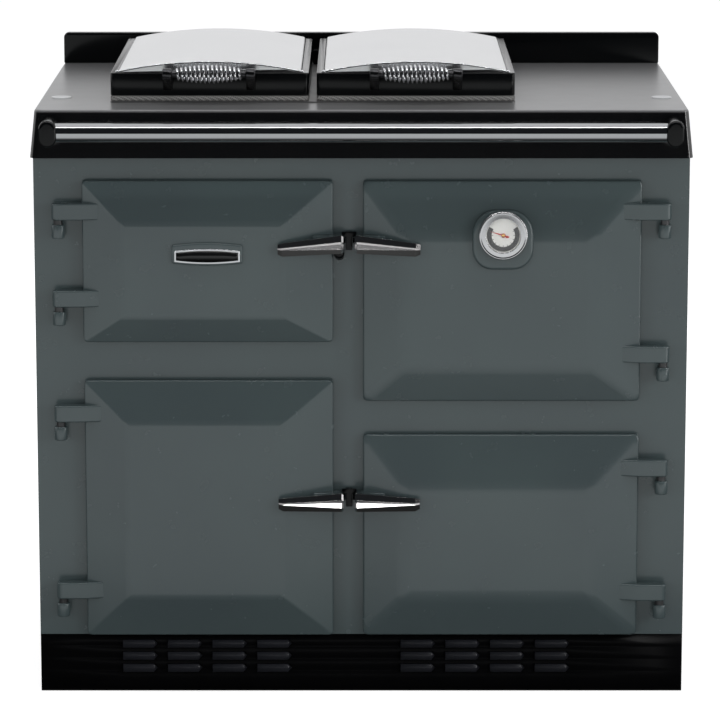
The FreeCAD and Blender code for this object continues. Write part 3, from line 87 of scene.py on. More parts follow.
class Tone:
    """A number on its way through a finish's nodes."""

    def __init__(self, finish, socket):
        self.finish = finish
        self.socket = socket

    def meet(self, operation, *values):
        return self.finish.add("ShaderNodeMath", {"operation": operation},
                               dict(enumerate(values)))

    def __add__(self, other):
        return self.meet("ADD", self, other)

    def __sub__(self, other):
        return self.meet("SUBTRACT", self, other)

    def __rsub__(self, other):
        return self.meet("SUBTRACT", other, self)

    def __mul__(self, other):
        return self.meet("MULTIPLY", self, other)

    def __pow__(self, other):
        return self.meet("POWER", self, other)

    def within(self, low, high):
        """0 up to low, 1 from high on, smooth between."""
        return self.finish.add("ShaderNodeMapRange", {"interpolation_type": "SMOOTHSTEP"},
                               {0: self, 1: low, 2: high, 3: 0.0, 4: 1.0})

    def wave(self):
        return self.meet("SINE", self)

    def most(self, other):
        return self.meet("MAXIMUM", self, other)

    def size(self):
        return self.meet("ABSOLUTE", self)


class Finish:
    """Nodes of one material or of the room; a material has a Principled shader."""

    def __init__(self, name, tree=None, **fixed):
        if tree is None:
            self.material = bpy.data.materials.new(name)
            self.material.use_nodes = True
            tree = self.material.node_tree
            self.shader = tree.nodes["Principled BSDF"]
        self.tree = tree
        for socket, value in fixed.items():
            self.shader.inputs[socket.replace("_", " ")].default_value = value
        self.place = self.add("ShaderNodeTexCoord", {}, {}, "Object")

    def add(self, kind, settings, inputs, output=0):
        node = self.tree.nodes.new(kind)
        for key, value in settings.items():
            setattr(node, key, value)
        for key, value in inputs.items():
            if isinstance(value, Tone):
                self.tree.links.new(value.socket, node.inputs[key])
            else:
                node.inputs[key].default_value = value
        return Tone(self, node.outputs[output] if len(node.outputs) else None)

    def drive(self, socket, tone):
        self.tree.links.new(tone.socket, self.shader.inputs[socket])

    def placed(self, offset=(0.0, 0.0, 0.0), scale=(1.0, 1.0, 1.0)):
        return self.add("ShaderNodeMapping", {}, {"Vector": self.place, "Location": offset,
                                                  "Scale": scale})

    def noise(self, scale, detail=3.0, at=None):
        return self.add("ShaderNodeTexNoise", {},
                        {"Vector": at or self.place, "Scale": scale, "Detail": detail}, "Fac")

    def axes(self, at=None):
        node = self.add("ShaderNodeSeparateXYZ", {}, {0: at or self.place})
        return [Tone(self, out) for out in node.socket.node.outputs]

    def mix(self, share, first, second):
        return self.add("ShaderNodeMix", {"data_type": "RGBA", "clamp_factor": True},
                        {0: share, 6: first, 7: second}, 2)

    def bump(self, height, depth):
        self.drive("Normal", self.add("ShaderNodeBump", {}, {"Height": height, "Distance": depth}))


room = bpy.data.worlds.new("room")
bpy.context.scene.world = room
room.use_nodes = True
room.node_tree.nodes.clear()
walls = Finish("room", room.node_tree)
heading = walls.axes(walls.add("ShaderNodeTexCoord", {}, {}, "Generated"))
lit_wall = (heading[1] + heading[0] * LEAN_RIGHT).within(*SHEEN_EDGE)
ray = "ShaderNodeLightPath"
seen = walls.mix(walls.add(ray, {}, {}, "Is Glossy Ray"), AMBIENT,
                 walls.mix(lit_wall, FRONT_DIM, WALL_SHEEN))
clear = walls.add(ray, {}, {}, "Is Camera Ray").most(
    walls.add(ray, {}, {}, "Is Transmission Ray"))
sky = walls.add("ShaderNodeBackground", {}, {"Color": walls.mix(clear, seen, WHITE)})
walls.add("ShaderNodeOutputWorld", {}, {"Surface": sky})

floor_shape = bmesh.new()
bmesh.ops.create_grid(floor_shape, x_segments=1, y_segments=1, size=FLOOR_HALF)
floor_data = bpy.data.meshes.new("floor")
floor_shape.to_mesh(floor_data)
floor_shape.free()
floor = bpy.data.objects.new("floor", floor_data)
bpy.context.scene.collection.objects.link(floor)
paint = Finish("studio_floor", Roughness=0.9, Specular_IOR_Level=0.1, Emission_Strength=1.0)
plain_paint = paint.mix(paint.noise(3.0), (FLOOR_SHARE, FLOOR_SHARE, FLOOR_SHARE, 1.0),
                        (FLOOR_SHARE_HIGH, FLOOR_SHARE_HIGH, FLOOR_SHARE_HIGH, 1.0))
gloss_view = paint.add(ray, {}, {}, "Is Glossy Ray")
camera_view = paint.add(ray, {}, {}, "Is Camera Ray").most(
    paint.add(ray, {}, {}, "Is Transmission Ray"))
depth = paint.axes()[1]
# Painted shade and painted shadow on the floor as gloss sees it, darker the nearer the cooker.
gloss_floor_and_painted_shadow = paint.mix(depth.within(*PAINTED_SHADOW_Y),
                        paint.mix(depth.within(*PAINTED_SHADE_Y), GLOSS_FLOOR_FAR, GLOSS_FLOOR_PAINTED_SHADE),
                        GLOSS_FLOOR_PAINTED_SHADOW)
BLANK = (0.0, 0.0, 0.0, 1.0)
paint.drive("Base Color", paint.mix(gloss_view, plain_paint, BLANK))
glow = paint.mix(camera_view, BLANK, (FLOOR_GLOW, FLOOR_GLOW, FLOOR_GLOW, 1.0))
paint.drive("Emission Color", paint.mix(gloss_view, glow, gloss_floor_and_painted_shadow))
floor_data.materials.append(paint.material)


def softbox(name, at, toward, size, power, shows=True):
    lamp = bpy.data.lights.new(name, "AREA")
    lamp.shape = "RECTANGLE"
    lamp.size, lamp.size_y = size
    lamp.energy = power
    thing = bpy.data.objects.new(name, lamp)
    thing.location = at
    thing.rotation_euler = (Vector(toward) - Vector(at)).to_track_quat("-Z", "Y").to_euler()
    thing.visible_glossy = shows
    thing.visible_camera = False
    bpy.context.scene.collection.objects.link(thing)


FACE_POINT = (0.0, -0.3, 0.45)
softbox("front_fill", (0.0, -4.4, 0.95), FACE_POINT, (3.6, 1.6), 26.0, shows=False)
softbox("right_fill", (3.4, -3.0, 1.5), FACE_POINT, (1.2, 1.6), 42.0, shows=False)
softbox("left_fill", (-3.6, -3.0, 1.2), FACE_POINT, (1.2, 1.6), 28.0, shows=False)
softbox("overhead", (0.0, -0.9, 3.2), (0.0, -0.2, 0.9), (3.0, 0.16), 20.0)
softbox("right_strip", (2.7, -1.15, 1.0), FACE_POINT, (0.16, 2.0), 11.0)
softbox("rear_fill", (0.0, 3.6, 2.2), (0.0, 0.3, 0.6), (3.0, 1.6), 48.0, shows=False)


# ---------------------------------------------------------------- casing
# Cast front plate and pressed sides in slate blue-grey vitreous enamel, fired glossy.
# The rear is plain galvanised sheet.
def shade(red, green, blue):
    """Linear colour of an eye-level 0-255 colour."""
    def linear(level):
        level /= 255
        return level / 12.92 if level <= 0.04045 else ((level + 0.055) / 1.055) ** 2.4
    return (linear(red), linear(green), linear(blue), 1.0)


def enamel(name, colour, pool, roughness, flow, gloss=0.5, coat=0.0):
    """Vitreous enamel: glass over iron, pooled a little darker in places, faintly rippled."""
    finish = Finish(name, Coat_Weight=coat, Coat_Roughness=0.06, Specular_IOR_Level=gloss)
    drift = finish.noise(5.0, 2.0).within(0.25, 0.75)
    finish.drive("Base Color", finish.mix(drift, colour, pool))
    finish.drive("Roughness", finish.noise(40.0) * 0.05 + roughness)
    finish.bump(finish.noise(30.0, 2.0), flow)
    return finish.material


def dress(material, *names):
    """Gives CAD nodes their finish."""
    for name in names:
        data = NODES[name].data
        if not data.materials:
            data.materials.append(material)
        for index in range(len(data.materials)):
            data.materials[index] = material


SLATE = shade(63, 74, 75)
SLATE_POOL = shade(60, 70, 72)
slate_cast = enamel("slate_enamel_cast", SLATE, SLATE_POOL, 0.24, 0.00007, coat=0.30)
slate_sheet = enamel("slate_enamel_sheet", SLATE, SLATE_POOL, 0.20, 0.00008, coat=0.30)
dress(slate_cast, "front_plate")
dress(slate_sheet, "left_side_panel", "right_side_panel")

zinc = Finish("galvanised", Metallic=0.75)
spangle = zinc.add("ShaderNodeTexVoronoi", {"feature": "F1"},
                   {"Vector": zinc.place, "Scale": 170.0, "Randomness": 1.0}, "Color")
crystals = zinc.axes(spangle)[0]
zinc.drive("Base Color", zinc.mix(crystals, shade(146, 150, 152), shade(168, 171, 173)))
zinc.drive("Roughness", crystals * 0.18 + zinc.noise(60.0) * 0.1 + 0.3)
zinc.bump(zinc.noise(300.0, 2.0), 0.00003)
dress(zinc.material, "rear_panel")


# ---------------------------------------------------------------- plinth
# Black enamelled skirt of folded sheet. Each louvre is pressed out of it: a flat slat, square
# at its left end and drawn to a point at its right, open below over its slot.
PLINTH_SHEET = 0.003
LOUVRE_STARTS = (-0.365, 0.060)
LOUVRE_STEP = (0.0685, 0.0192)
LOUVRE_LENGTH = 0.053
LOUVRE_TALL = 0.012
LOUVRE_HIP = 0.0060
LOUVRE_PROUD = 0.004
LOUVRE_LOW = 0.0375
LOUVRE_SLOT = 0.0035
LOUVRE_ROWS, LOUVRE_COLUMNS = 3, 4
HOOD_SHEET = 0.0008
MOSTLY, NEARLY = 0.5, 0.9               # how far a face's normal lies along an axis


def piece(name, shape, material, body, slot, *stands_for, soften=0.0, steps=3, angle=30.0,
          wall=0.0):
    """Closes a bmesh into an object that rides on a body.

    soften rounds its sharp edges, and wall makes its faces a sheet of that thickness.
    """
    if not wall:
        bmesh.ops.recalc_face_normals(shape, faces=shape.faces)
    data = bpy.data.meshes.new(name)
    shape.to_mesh(data)
    shape.free()
    data.materials.append(material)
    for face in data.polygons:
        face.use_smooth = True
    thing = bpy.data.objects.new(name, data)
    bpy.context.scene.collection.objects.link(thing)
    if soften:
        rounding = thing.modifiers.new("edges", "BEVEL")
        rounding.width = soften
        rounding.segments = steps
        rounding.angle_limit = math.radians(angle)
        rounding.harden_normals = True
    if wall:
        sheet = thing.modifiers.new("sheet", "SOLIDIFY")
        sheet.thickness = wall
        sheet.offset = -1.0
    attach(thing, body)
    if stands_for:
        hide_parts(*stands_for)
    return thing


plinth_low, plinth_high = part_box("plinth")
skirt = bmesh.new()
plinth_front = plinth_low.y + LOUVRE_PROUD
bmesh.ops.create_cube(skirt, size=1.0)
bmesh.ops.scale(skirt, verts=skirt.verts,
                vec=(plinth_high.x - plinth_low.x, plinth_high.y - plinth_front,
                     plinth_high.z - plinth_low.z))
bmesh.ops.translate(skirt, verts=skirt.verts,
                    vec=((plinth_high.x + plinth_low.x) / 2, (plinth_high.y + plinth_front) / 2,
                         (plinth_high.z + plinth_low.z) / 2))
open_ends = [face for face in skirt.faces
             if abs(face.normal.z) > MOSTLY or face.normal.y > MOSTLY]
bmesh.ops.delete(skirt, geom=open_ends, context="FACES_ONLY")


def slot_span(start, column):
    x = start + column * LOUVRE_STEP[0]
    return x, x + LOUVRE_LENGTH - LOUVRE_HIP


def slot_rise(row):
    z = LOUVRE_LOW + row * LOUVRE_STEP[1] - LOUVRE_TALL / 2
    return z, z + LOUVRE_SLOT


spans = [slot_span(start, column) for start in LOUVRE_STARTS
         for column in range(LOUVRE_COLUMNS)]
rises = [slot_rise(row) for row in range(LOUVRE_ROWS)]
for x in [side for span in spans for side in span]:
    bmesh.ops.bisect_plane(skirt, geom=skirt.verts[:] + skirt.edges[:] + skirt.faces[:],
                           plane_co=(x, 0, 0), plane_no=(1, 0, 0))
for z in [level for pair in rises for level in pair]:
    bmesh.ops.bisect_plane(skirt, geom=skirt.verts[:] + skirt.edges[:] + skirt.faces[:],
                           plane_co=(0, 0, z), plane_no=(0, 0, 1))
slots = []
for face in skirt.faces:
    spot = face.calc_center_median()
    if (face.normal.y < -MOSTLY and any(a < spot.x < b for a, b in spans)
            and any(a < spot.z < b for a, b in rises)):
        slots.append(face)
bmesh.ops.delete(skirt, geom=slots, context="FACES")
black_sheet = enamel("black_enamel_sheet", shade(5, 5, 6), shade(4, 4, 5), 0.30, 0.00008,
                     gloss=0.12)
piece("plinth_skirt", skirt, black_sheet, "cabinet", "black_enamel_sheet", "plinth",
      wall=PLINTH_SHEET)

hoods = bmesh.new()
for x0, x1 in spans:
    for low, _ in rises:
        high, mid = low + LOUVRE_TALL, low + LOUVRE_TALL / 2
        corners = [(x, plinth_front - out, z) for x in (x0, x1) for z in (low, high)
                   for out in (0.0, LOUVRE_PROUD)]
        corners.append((x1 + LOUVRE_HIP, plinth_front, mid))
        made = [hoods.verts.new(corner) for corner in corners]
        bmesh.ops.convex_hull(hoods, input=made)
open_below = [face for face in hoods.faces if face.normal.z < -NEARLY
              or face.normal.y > NEARLY]
bmesh.ops.delete(hoods, geom=open_below, context="FACES")
# The slats are the skirt's black enamel painted a lighter grey: painted sheen for the light their
# upward-tilted faces catch.
louvre_painted_sheen = enamel("black_enamel_louvres_painted_sheen", shade(30, 31, 36), shade(26, 27, 31), 0.30, 0.00005)
piece("louvre_hoods", hoods, louvre_painted_sheen, "cabinet", "black_enamel_sheet", wall=HOOD_SHEET)


# ---------------------------------------------------------------- base and feet
# A sand-cast iron plate inside the plinth, on four screwed steel feet with turned pads.
def ironwork(name, colour, pale, roughness, grain, metallic=0.0):
    """Bare cast or ground iron with a sandy skin."""
    finish = Finish(name)
    blotch = finish.noise(18.0, 5.0).within(0.3, 0.7)
    finish.drive("Base Color", finish.mix(blotch, colour, pale))
    finish.drive("Roughness", finish.noise(120.0, 4.0) * 0.2 + roughness)
    finish.drive("Metallic", blotch * 0.1 + metallic)
    finish.bump(finish.noise(900.0, 4.0), grain)
    return finish.material


def bright(name, colour, roughness, marks=(1.0, 1.0, 1.0), scratch=0.04, depth=0.000004):
    """Chrome or steel; marks stretch the fine lines that polishing or turning leaves."""
    finish = Finish(name, Metallic=1.0)
    lines = finish.noise(700.0, 3.0, finish.placed(scale=marks))
    haze = finish.noise(9.0)
    finish.drive("Base Color", finish.mix(haze * 0.5, colour, [c * 0.9 for c in colour[:3]] + [1]))
    finish.drive("Roughness", lines * scratch + haze * 0.02 + roughness)
    finish.bump(lines, depth)
    return finish.material


sand_cast = ironwork("sand_cast_iron", shade(52, 51, 50), shade(72, 70, 68), 0.62, 0.00025, 0.35)
turned_steel = bright("turned_steel", shade(176, 178, 181), 0.24, (1.0, 1.0, 14.0))
dress(sand_cast, "base_plate")
dress(turned_steel, "levelling_feet")


# ---------------------------------------------------------------- top plate and upstand
# Black enamel castings. The top runs into a leaning lip in front; the upstand behind is
# screwed down from below. Two flush caps close the bolt holes.
MERGE = 1e-5
FLAT_WITHIN = 0.6                       # degrees
CAP_LOW, CAP_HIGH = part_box("bolt_caps")
TOP_EDGE_Z = (CAP_LOW.z - 0.005, CAP_LOW.z - 0.001)
POOLED_BLACK = shade(6, 6, 7)
TOP_PAINTED_SHEEN = (shade(106, 106, 107), shade(100, 100, 101))     # the level top is painted mid grey, not black: a painted reflection of the bright room


def eased(name, node, material, body, slot, width, steps=3, angle=35.0):
    """A copy of a CAD shape whose edges are rounded over, as a foundry or a press leaves them."""
    shape = bmesh.new()
    shape.from_mesh(NODES[node].data)
    bmesh.ops.remove_doubles(shape, verts=shape.verts, dist=MERGE)
    bmesh.ops.dissolve_limit(shape, angle_limit=math.radians(FLAT_WITHIN), verts=shape.verts,
                             edges=shape.edges)
    thing = piece(name, shape, material, body, slot, node, soften=width, steps=steps, angle=angle)
    thing.modifiers["edges"].use_clamp_overlap = False
    return thing


def turned(shape, profile, centre, axis, steps=48):
    """Spins a (radius, height) profile round an axis; an end on the axis is closed."""
    axis = Vector(axis)
    side = axis.orthogonal().normalized()
    points = [Vector(centre) + side * radius + axis * height for radius, height in profile]
    line = [shape.verts.new(point) for point in points]
    edges = [shape.edges.new(pair) for pair in zip(line, line[1:])]
    bmesh.ops.spin(shape, geom=line + edges, cent=centre, axis=axis,
                   angle=2 * math.pi, steps=steps, use_merge=True)
    bmesh.ops.remove_doubles(shape, verts=shape.verts, dist=1e-6)


black_cast = enamel("black_enamel_cast", shade(6, 7, 8), shade(4, 5, 6), 0.16, 0.00002, gloss=0.22)
top_enamel = Finish("black_enamel_top", Specular_IOR_Level=0.95)
on_top = top_enamel.axes()[2].within(*TOP_EDGE_Z)
ripple = top_enamel.noise(30.0, 2.0)
# On the level top the black enamel's base colour is a mid grey: painted reflection; it is also a
# little rougher there.
top_enamel.drive("Base Color", top_enamel.mix(on_top, POOLED_BLACK,
                                              top_enamel.mix(ripple, *TOP_PAINTED_SHEEN)))
top_enamel.drive("Roughness", on_top * 0.16 + ripple * 0.03 + 0.13)
top_enamel.bump(ripple, 0.00002)
dress(top_enamel.material, "top_plate")
eased("upstand_casting", "rear_upstand", black_cast, "cabinet", "black_enamel_casting", 0.0016)

bolt = bmesh.new()
CAP_R, CAP_RISE = (CAP_HIGH.y - CAP_LOW.y) / 2, CAP_HIGH.z - CAP_LOW.z
CAP_PROFILE = [(CAP_R, 0.0), (CAP_R, CAP_RISE * 0.6), (CAP_R - 0.0012, CAP_RISE),
               (CAP_R - 0.0045, CAP_RISE), (CAP_R - 0.0055, CAP_RISE * 0.7),
               (0.0, CAP_RISE * 0.7)]
for x in (CAP_LOW.x, CAP_HIGH.x):
    centre = Vector((x - math.copysign(CAP_R, x), (CAP_LOW.y + CAP_HIGH.y) / 2, CAP_LOW.z))
    turned(bolt, CAP_PROFILE, centre, (0, 0, 1))
# The caps are painted light grey, not black: a painted reflection, like the one on the level top.
cap_painted_sheen = enamel("cap_painted_sheen", shade(196, 197, 198), shade(182, 183, 185), 0.3, 0.00002)
piece("top_bolt_caps", bolt, cap_painted_sheen, "cabinet", "black_enamel_sheet", "bolt_caps")


# ---------------------------------------------------------------- hotplate and its ropes
# Ground iron plate let into the top. A braided glass rope lies on it under each lid's rim.
ground_iron = ironwork("ground_iron", shade(118, 118, 118), shade(142, 141, 140), 0.34, 0.00003,
                       0.75)
dress(ground_iron, "hotplate")


def braid(name, dark, pale, strands, depth):
    """Plaited strands that cross each other along a rope; it runs along X, Y or a corner."""
    finish = Finish(name, Roughness=0.9)
    x, y, z = finish.axes()
    along = (x + y) * strands
    up = (z * 2.0 + y - x) * (strands * 0.5)
    weave = ((along + up).wave().size()).most((along - up).wave().size())
    fluff = finish.noise(2600.0, 2.0)
    tone = (weave * 0.75 + fluff * 0.5).within(0.55, 1.15)
    finish.drive("Base Color", finish.mix(tone, dark, pale))
    finish.bump(weave + fluff * 0.4, depth)
    return finish.material


seal_rope = braid("seal_rope", shade(12, 12, 12), shade(150, 149, 147), 620.0, 0.0006)
eased("lid_ropes", "lid_seals", seal_rope, "cabinet", "glass_rope", 0.0030, steps=4)


# ---------------------------------------------------------------- towel rail
# Brushed stainless tube held in two cast oval cups whose noses are rounded over.
rail_steel = bright("brushed_rail", shade(176, 177, 179), 0.05, (0.05, 1.0, 1.0), 0.03,
                    0.000003)
dress(rail_steel, "rail_tube")
eased("rail_cups", "rail_brackets", black_cast, "cabinet", "black_enamel_casting", 0.0008)


# ---------------------------------------------------------------- doors
# Hollow cast doors in slate enamel: a square skirt, four sloping bevels and a raised flat
# middle. The left pair has crisp hips, the right pair flows softly. The hinge arms and the
# latch lug are cast on, and so is the thermometer's pad, whose head hides behind the bezel.
WALL = 0.006
LINER_INSET = 0.0063                    # liner edge inside the door's skirt
SKIRT_FOOT = 0.003                      # heights in front of the front plate
SKIRT_TOP = 0.014
REBATE = 0.0105
CORNER = 0.007
BEVEL_UNIT = 0.02                       # edge weights are shares of this rounding
HINGE_REACH = 0.019
ARM_R = 0.0097
ARM_TALL = 0.0255
ARM_RUN = 0.034                         # how far an arm runs on over the bevel
ARM_FALL = (0.0008, 0.0087)             # below its front, at the door's edge and at its root
ARM_ROOT = 0.004
PIN_R = 0.0065
LUG_R = 0.011
LUG_REACH = (0.012, 0.030)
LUG_RUN = 0.035
REBATE_ROUND = 0.0008
NEAR_TOP = 0.001
PLATE_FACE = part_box("front_plate")[0].y
FACE_HIGH = PLATE_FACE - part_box("lower_left_door")[0].y
HINGE_X = (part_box("hinge_pins")[1].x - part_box("hinge_pins")[0].x) / 2 - PIN_R
STRIP_X = -0.0185                       # middle of the strip between the doors
SPINDLE_OFF = 0.0195


def reach(distance):
    """Y of a point this far in front of the front plate."""
    return PLATE_FACE - distance


def prism(shape, outline, along):
    """Extrudes a flat outline of points."""
    corners = [shape.verts.new(point) for point in outline]
    grown = bmesh.ops.extrude_face_region(shape, geom=[shape.faces.new(corners)])
    moved = [item for item in grown["geom"] if isinstance(item, bmesh.types.BMVert)]
    bmesh.ops.translate(shape, verts=moved, vec=Vector(along))


def arc(centre, radius, start, end, steps):
    """Points of an arc in a plane, angles in degrees."""
    angles = [math.radians(start + (end - start) * k / steps) for k in range(steps + 1)]
    return [(centre[0] + radius * math.cos(a), centre[1] + radius * math.sin(a)) for a in angles]


def lift(shape, face, rectangle, distance):
    """Draws a rectangular face out to new corners; returns the moved face."""
    x0, x1, z0, z1 = rectangle
    centre = face.calc_center_median()
    moved = bmesh.ops.extrude_discrete_faces(shape, faces=[face])["faces"][0]
    for corner in moved.verts:
        right, up = corner.co.x > centre.x, corner.co.z > centre.z
        corner.co = (x1 if right else x0, reach(distance), z1 if up else z0)
    return moved


def inset(rectangle, amount):
    x0, x1, z0, z1 = rectangle
    return x0 + amount, x1 - amount, z0 + amount, z1 - amount


def outline_of(name):
    """The door's skirt in front view, from the liner that lies inside it."""
    low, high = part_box(name + "_door_liner")
    return low.x - LINER_INSET, high.x + LINER_INSET, low.z - LINER_INSET, high.z + LINER_INSET


def door_shell(outline, bevels, ridge, hip, brow):
    """Skirt, bevels and middle; edge weights say how wide each edge is rounded."""
    shape = bmesh.new()
    left, right, low, high = bevels
    x0, x1, z0, z1 = outline
    corners = [shape.verts.new((x, reach(SKIRT_FOOT), z))
               for x, z in ((x0, z0), (x1, z0), (x1, z1), (x0, z1))]
    foot = shape.faces.new(corners)
    top = lift(shape, foot, outline, SKIRT_TOP)
    lift(shape, top, (x0 + left, x1 - right, z0 + low, z1 - high), FACE_HIGH)
    back = shape.faces.new(list(reversed(corners)))
    rim = lift(shape, back, inset(outline, WALL), SKIRT_FOOT)
    well = lift(shape, rim, inset(outline, WALL), REBATE)
    bmesh.ops.delete(shape, geom=[well], context="FACES_ONLY")
    weight = shape.edges.layers.float.new("bevel_weight_edge")
    for edge in shape.edges:
        deep = [PLATE_FACE - corner.co.y for corner in edge.verts]
        if min(deep) < SKIRT_TOP - NEAR_TOP:
            skirt = max(deep) > REBATE + NEAR_TOP
            edge[weight] = CORNER if skirt else REBATE_ROUND
        elif max(deep) < SKIRT_TOP + NEAR_TOP:
            edge[weight] = ridge
        elif min(deep) > FACE_HIGH - NEAR_TOP:
            edge[weight] = brow
        else:
            edge[weight] = hip
        edge[weight] /= BEVEL_UNIT
    return shape


def door_arm(shape, side, edge_x, z):
    """Blade from the bevel to its round eye."""
    eye = side * HINGE_X
    back, front = HINGE_REACH - ARM_R, HINGE_REACH + ARM_R
    outline = [(eye + side * u, v) for u, v in arc((0.0, HINGE_REACH), ARM_R, -90.0, 90.0, 12)]
    root = edge_x - side * ARM_RUN
    outline += [(edge_x, front - ARM_FALL[0]), (root, front - ARM_FALL[1]),
                (root, SKIRT_TOP - ARM_ROOT), (edge_x, back)]
    prism(shape, [(x, reach(v), z - ARM_TALL / 2) for x, v in outline], (0, 0, ARM_TALL))


def door_lug(shape, side, x, z):
    """Round-ended lug that the latch spindle passes through."""
    near, far = LUG_REACH
    turn = arc((x, z), LUG_R, 90.0, 270.0, 12) if side > 0 else arc((x, z), LUG_R, -90.0, 90.0, 12)
    root = x + side * LUG_RUN
    outline = turn + [(root, turn[-1][1]), (root, turn[0][1])]
    prism(shape, [(u, reach(near), v) for u, v in outline], (0, near - far, 0))


# bevel widths left, right, low, high; arm places from the door's top and foot
DOORS = {
    "upper_left": ((0.060, 0.074, 0.042, 0.062), (0.0455, 0.0680), -1, "crisp"),
    "lower_left": ((0.064, 0.076, 0.064, 0.062), (0.0495, 0.0725), -1, "crisp"),
    "upper_right": ((0.061, 0.073, 0.055, 0.080), (0.0450, 0.0735), 1, "soft"),
    "lower_right": ((0.061, 0.073, 0.064, 0.078), (0.0500, 0.0695), 1, "soft"),
}
ROUNDINGS = {"crisp": (0.0024, 0.0024, 0.006), "soft": (0.0030, 0.010, 0.013)}
LATCH_Z = {}
for name in DOORS:
    low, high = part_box(name + "_latch_spindle")
    LATCH_Z[name] = (low.z + high.z) / 2

for name, (bevels, arms, side, kind) in DOORS.items():
    outline = outline_of(name)
    door = piece(name + "_door_casting", door_shell(outline, bevels, *ROUNDINGS[kind]),
                 slate_cast, name + "_door", "slate_enamel_casting", name + "_door")
    rounding = door.modifiers.new("edges", "BEVEL")
    rounding.limit_method = "WEIGHT"
    rounding.width = BEVEL_UNIT
    rounding.segments = 6
    rounding.harden_normals = True
    edge_x = outline[0] if side < 0 else outline[1]
    ironmongery = bmesh.new()
    for z in (outline[3] - arms[0], outline[2] + arms[1]):
        door_arm(ironmongery, side, edge_x, z)
    door_lug(ironmongery, side, STRIP_X + side * SPINDLE_OFF, LATCH_Z[name])
    piece(name + "_door_arms", ironmongery, slate_cast, name + "_door", "slate_enamel_casting",
          soften=0.0026, steps=4)
dress(sand_cast, *[name + "_door_liner" for name in DOORS])

GAUGE_LOW, GAUGE_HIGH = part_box("thermometer_case")
GAUGE_X = (GAUGE_LOW.x + GAUGE_HIGH.x) / 2
GAUGE_Z = (GAUGE_LOW.z + GAUGE_HIGH.z) / 2
PAD_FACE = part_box("upper_right_door")[0].y
PAD_HALF, PAD_BELOW, PAD_ABOVE = 0.0455, 0.0535, 0.0365
PAD_CORNERS = (0.030, 0.0355)           # foot and head
pad = bmesh.new()
outline = []
for u, v, start, radius in ((1, -1, -90.0, PAD_CORNERS[0]), (1, 1, 0.0, PAD_CORNERS[1]),
                            (-1, 1, 90.0, PAD_CORNERS[1]), (-1, -1, 180.0, PAD_CORNERS[0])):
    height = PAD_ABOVE if v > 0 else -PAD_BELOW
    centre = (GAUGE_X + u * (PAD_HALF - radius), GAUGE_Z + height - v * radius)
    outline += arc(centre, radius, start, start + 90.0, 8)
prism(pad, [(u, PAD_FACE, v) for u, v in outline], (0, reach(SKIRT_TOP) - PAD_FACE, 0))
piece("thermometer_pad", pad, slate_cast, "upper_right_door", "slate_enamel_casting",
      soften=0.0065, steps=6)


# ---------------------------------------------------------------- hinge posts
# Short round posts on webs from the front plate; a darkened steel pin stands in each.
eased("hinge_posts", "hinge_knuckles", slate_cast, "cabinet", "slate_enamel_casting", 0.0020)
dark_steel = ironwork("dark_pins", shade(70, 71, 72), shade(90, 90, 91), 0.35, 0.00001, 0.8)
dress(dark_steel, "hinge_pins")


# ---------------------------------------------------------------- latches
# Die-cast wedge levers in polished nickel. Each has a steep brow, a thin ledge and a facet
# that widens towards the hub, and its turned spindle ends inside it. Keepers and a round
# buffer stand on the strip between the doors.
dark_nickel = bright("dark_nickel", shade(196, 194, 194), 0.08, (1.0, 1.0, 1.0), 0.03)
# reach and height of a section's corners, for each distance from the hub end
LEVER_SECTIONS = {
    0.0: ((31.0, 11.0), (41.0, 11.0), (46.4, 3.2), (49.6, 1.2), (49.2, 0.4), (55.2, -5.2),
          (49.0, -11.5), (31.0, -11.5)),
    3.0: ((31.0, 13.0), (42.0, 13.0), (47.6, 4.0), (51.0, 1.6), (50.5, 0.7), (57.4, -5.8),
          (51.0, -13.0), (31.0, -13.0)),
    91.0: ((41.0, 1.8), (46.0, 1.8), (49.4, -5.2), (51.2, -6.7), (51.0, -6.9), (51.8, -7.6),
           (47.0, -18.0), (41.0, -18.0)),
    98.0: ((41.5, -0.5), (43.0, -0.5), (45.2, -6.0), (45.8, -7.0), (45.7, -7.2), (46.0, -7.8),
           (44.0, -15.5), (41.5, -15.5)),
}
TIP_LIFT = {"upper": 0.0, "lower": 0.0055}
LEVER_RUN = 0.098
SPINDLE_END = 0.043                     # inside the lever
MM = 0.001
for name, (_, _, side, _) in DOORS.items():
    hub_x = STRIP_X + side * (SPINDLE_OFF - LUG_R)
    rise = TIP_LIFT[name.split("_")[0]]
    lever = bmesh.new()
    loops = []
    for run, corners in LEVER_SECTIONS.items():
        x = hub_x + side * run * MM
        up = LATCH_Z[name] + rise * run * MM / LEVER_RUN
        ring = [lever.verts.new((x, reach(out * MM), up + v * MM)) for out, v in corners]
        loops.append([lever.edges.new((a, b)) for a, b in zip(ring, ring[1:] + ring[:1])])
        if run in (min(LEVER_SECTIONS), max(LEVER_SECTIONS)):
            lever.faces.new(ring)
    for near_loop, far_loop in zip(loops, loops[1:]):
        bmesh.ops.bridge_loops(lever, edges=near_loop + far_loop)
    piece(name + "_lever", lever, dark_nickel, name + "_latch", "bright_chrome",
          name + "_latch_lever", soften=0.0004, steps=2, angle=12.0)
    rod = bmesh.new()
    rod.from_mesh(NODES[name + "_latch_spindle"].data)
    bmesh.ops.remove_doubles(rod, verts=rod.verts, dist=MERGE)
    cut = bmesh.ops.bisect_plane(rod, geom=rod.verts[:] + rod.edges[:] + rod.faces[:],
                                 plane_co=(0, reach(SPINDLE_END), 0), plane_no=(0, -1, 0),
                                 clear_outer=True)
    bmesh.ops.holes_fill(rod, edges=[item for item in cut["geom_cut"]
                                     if isinstance(item, bmesh.types.BMEdge)])
    piece(name + "_spindle", rod, turned_steel, name + "_latch", "bright_steel",
          name + "_latch_spindle")

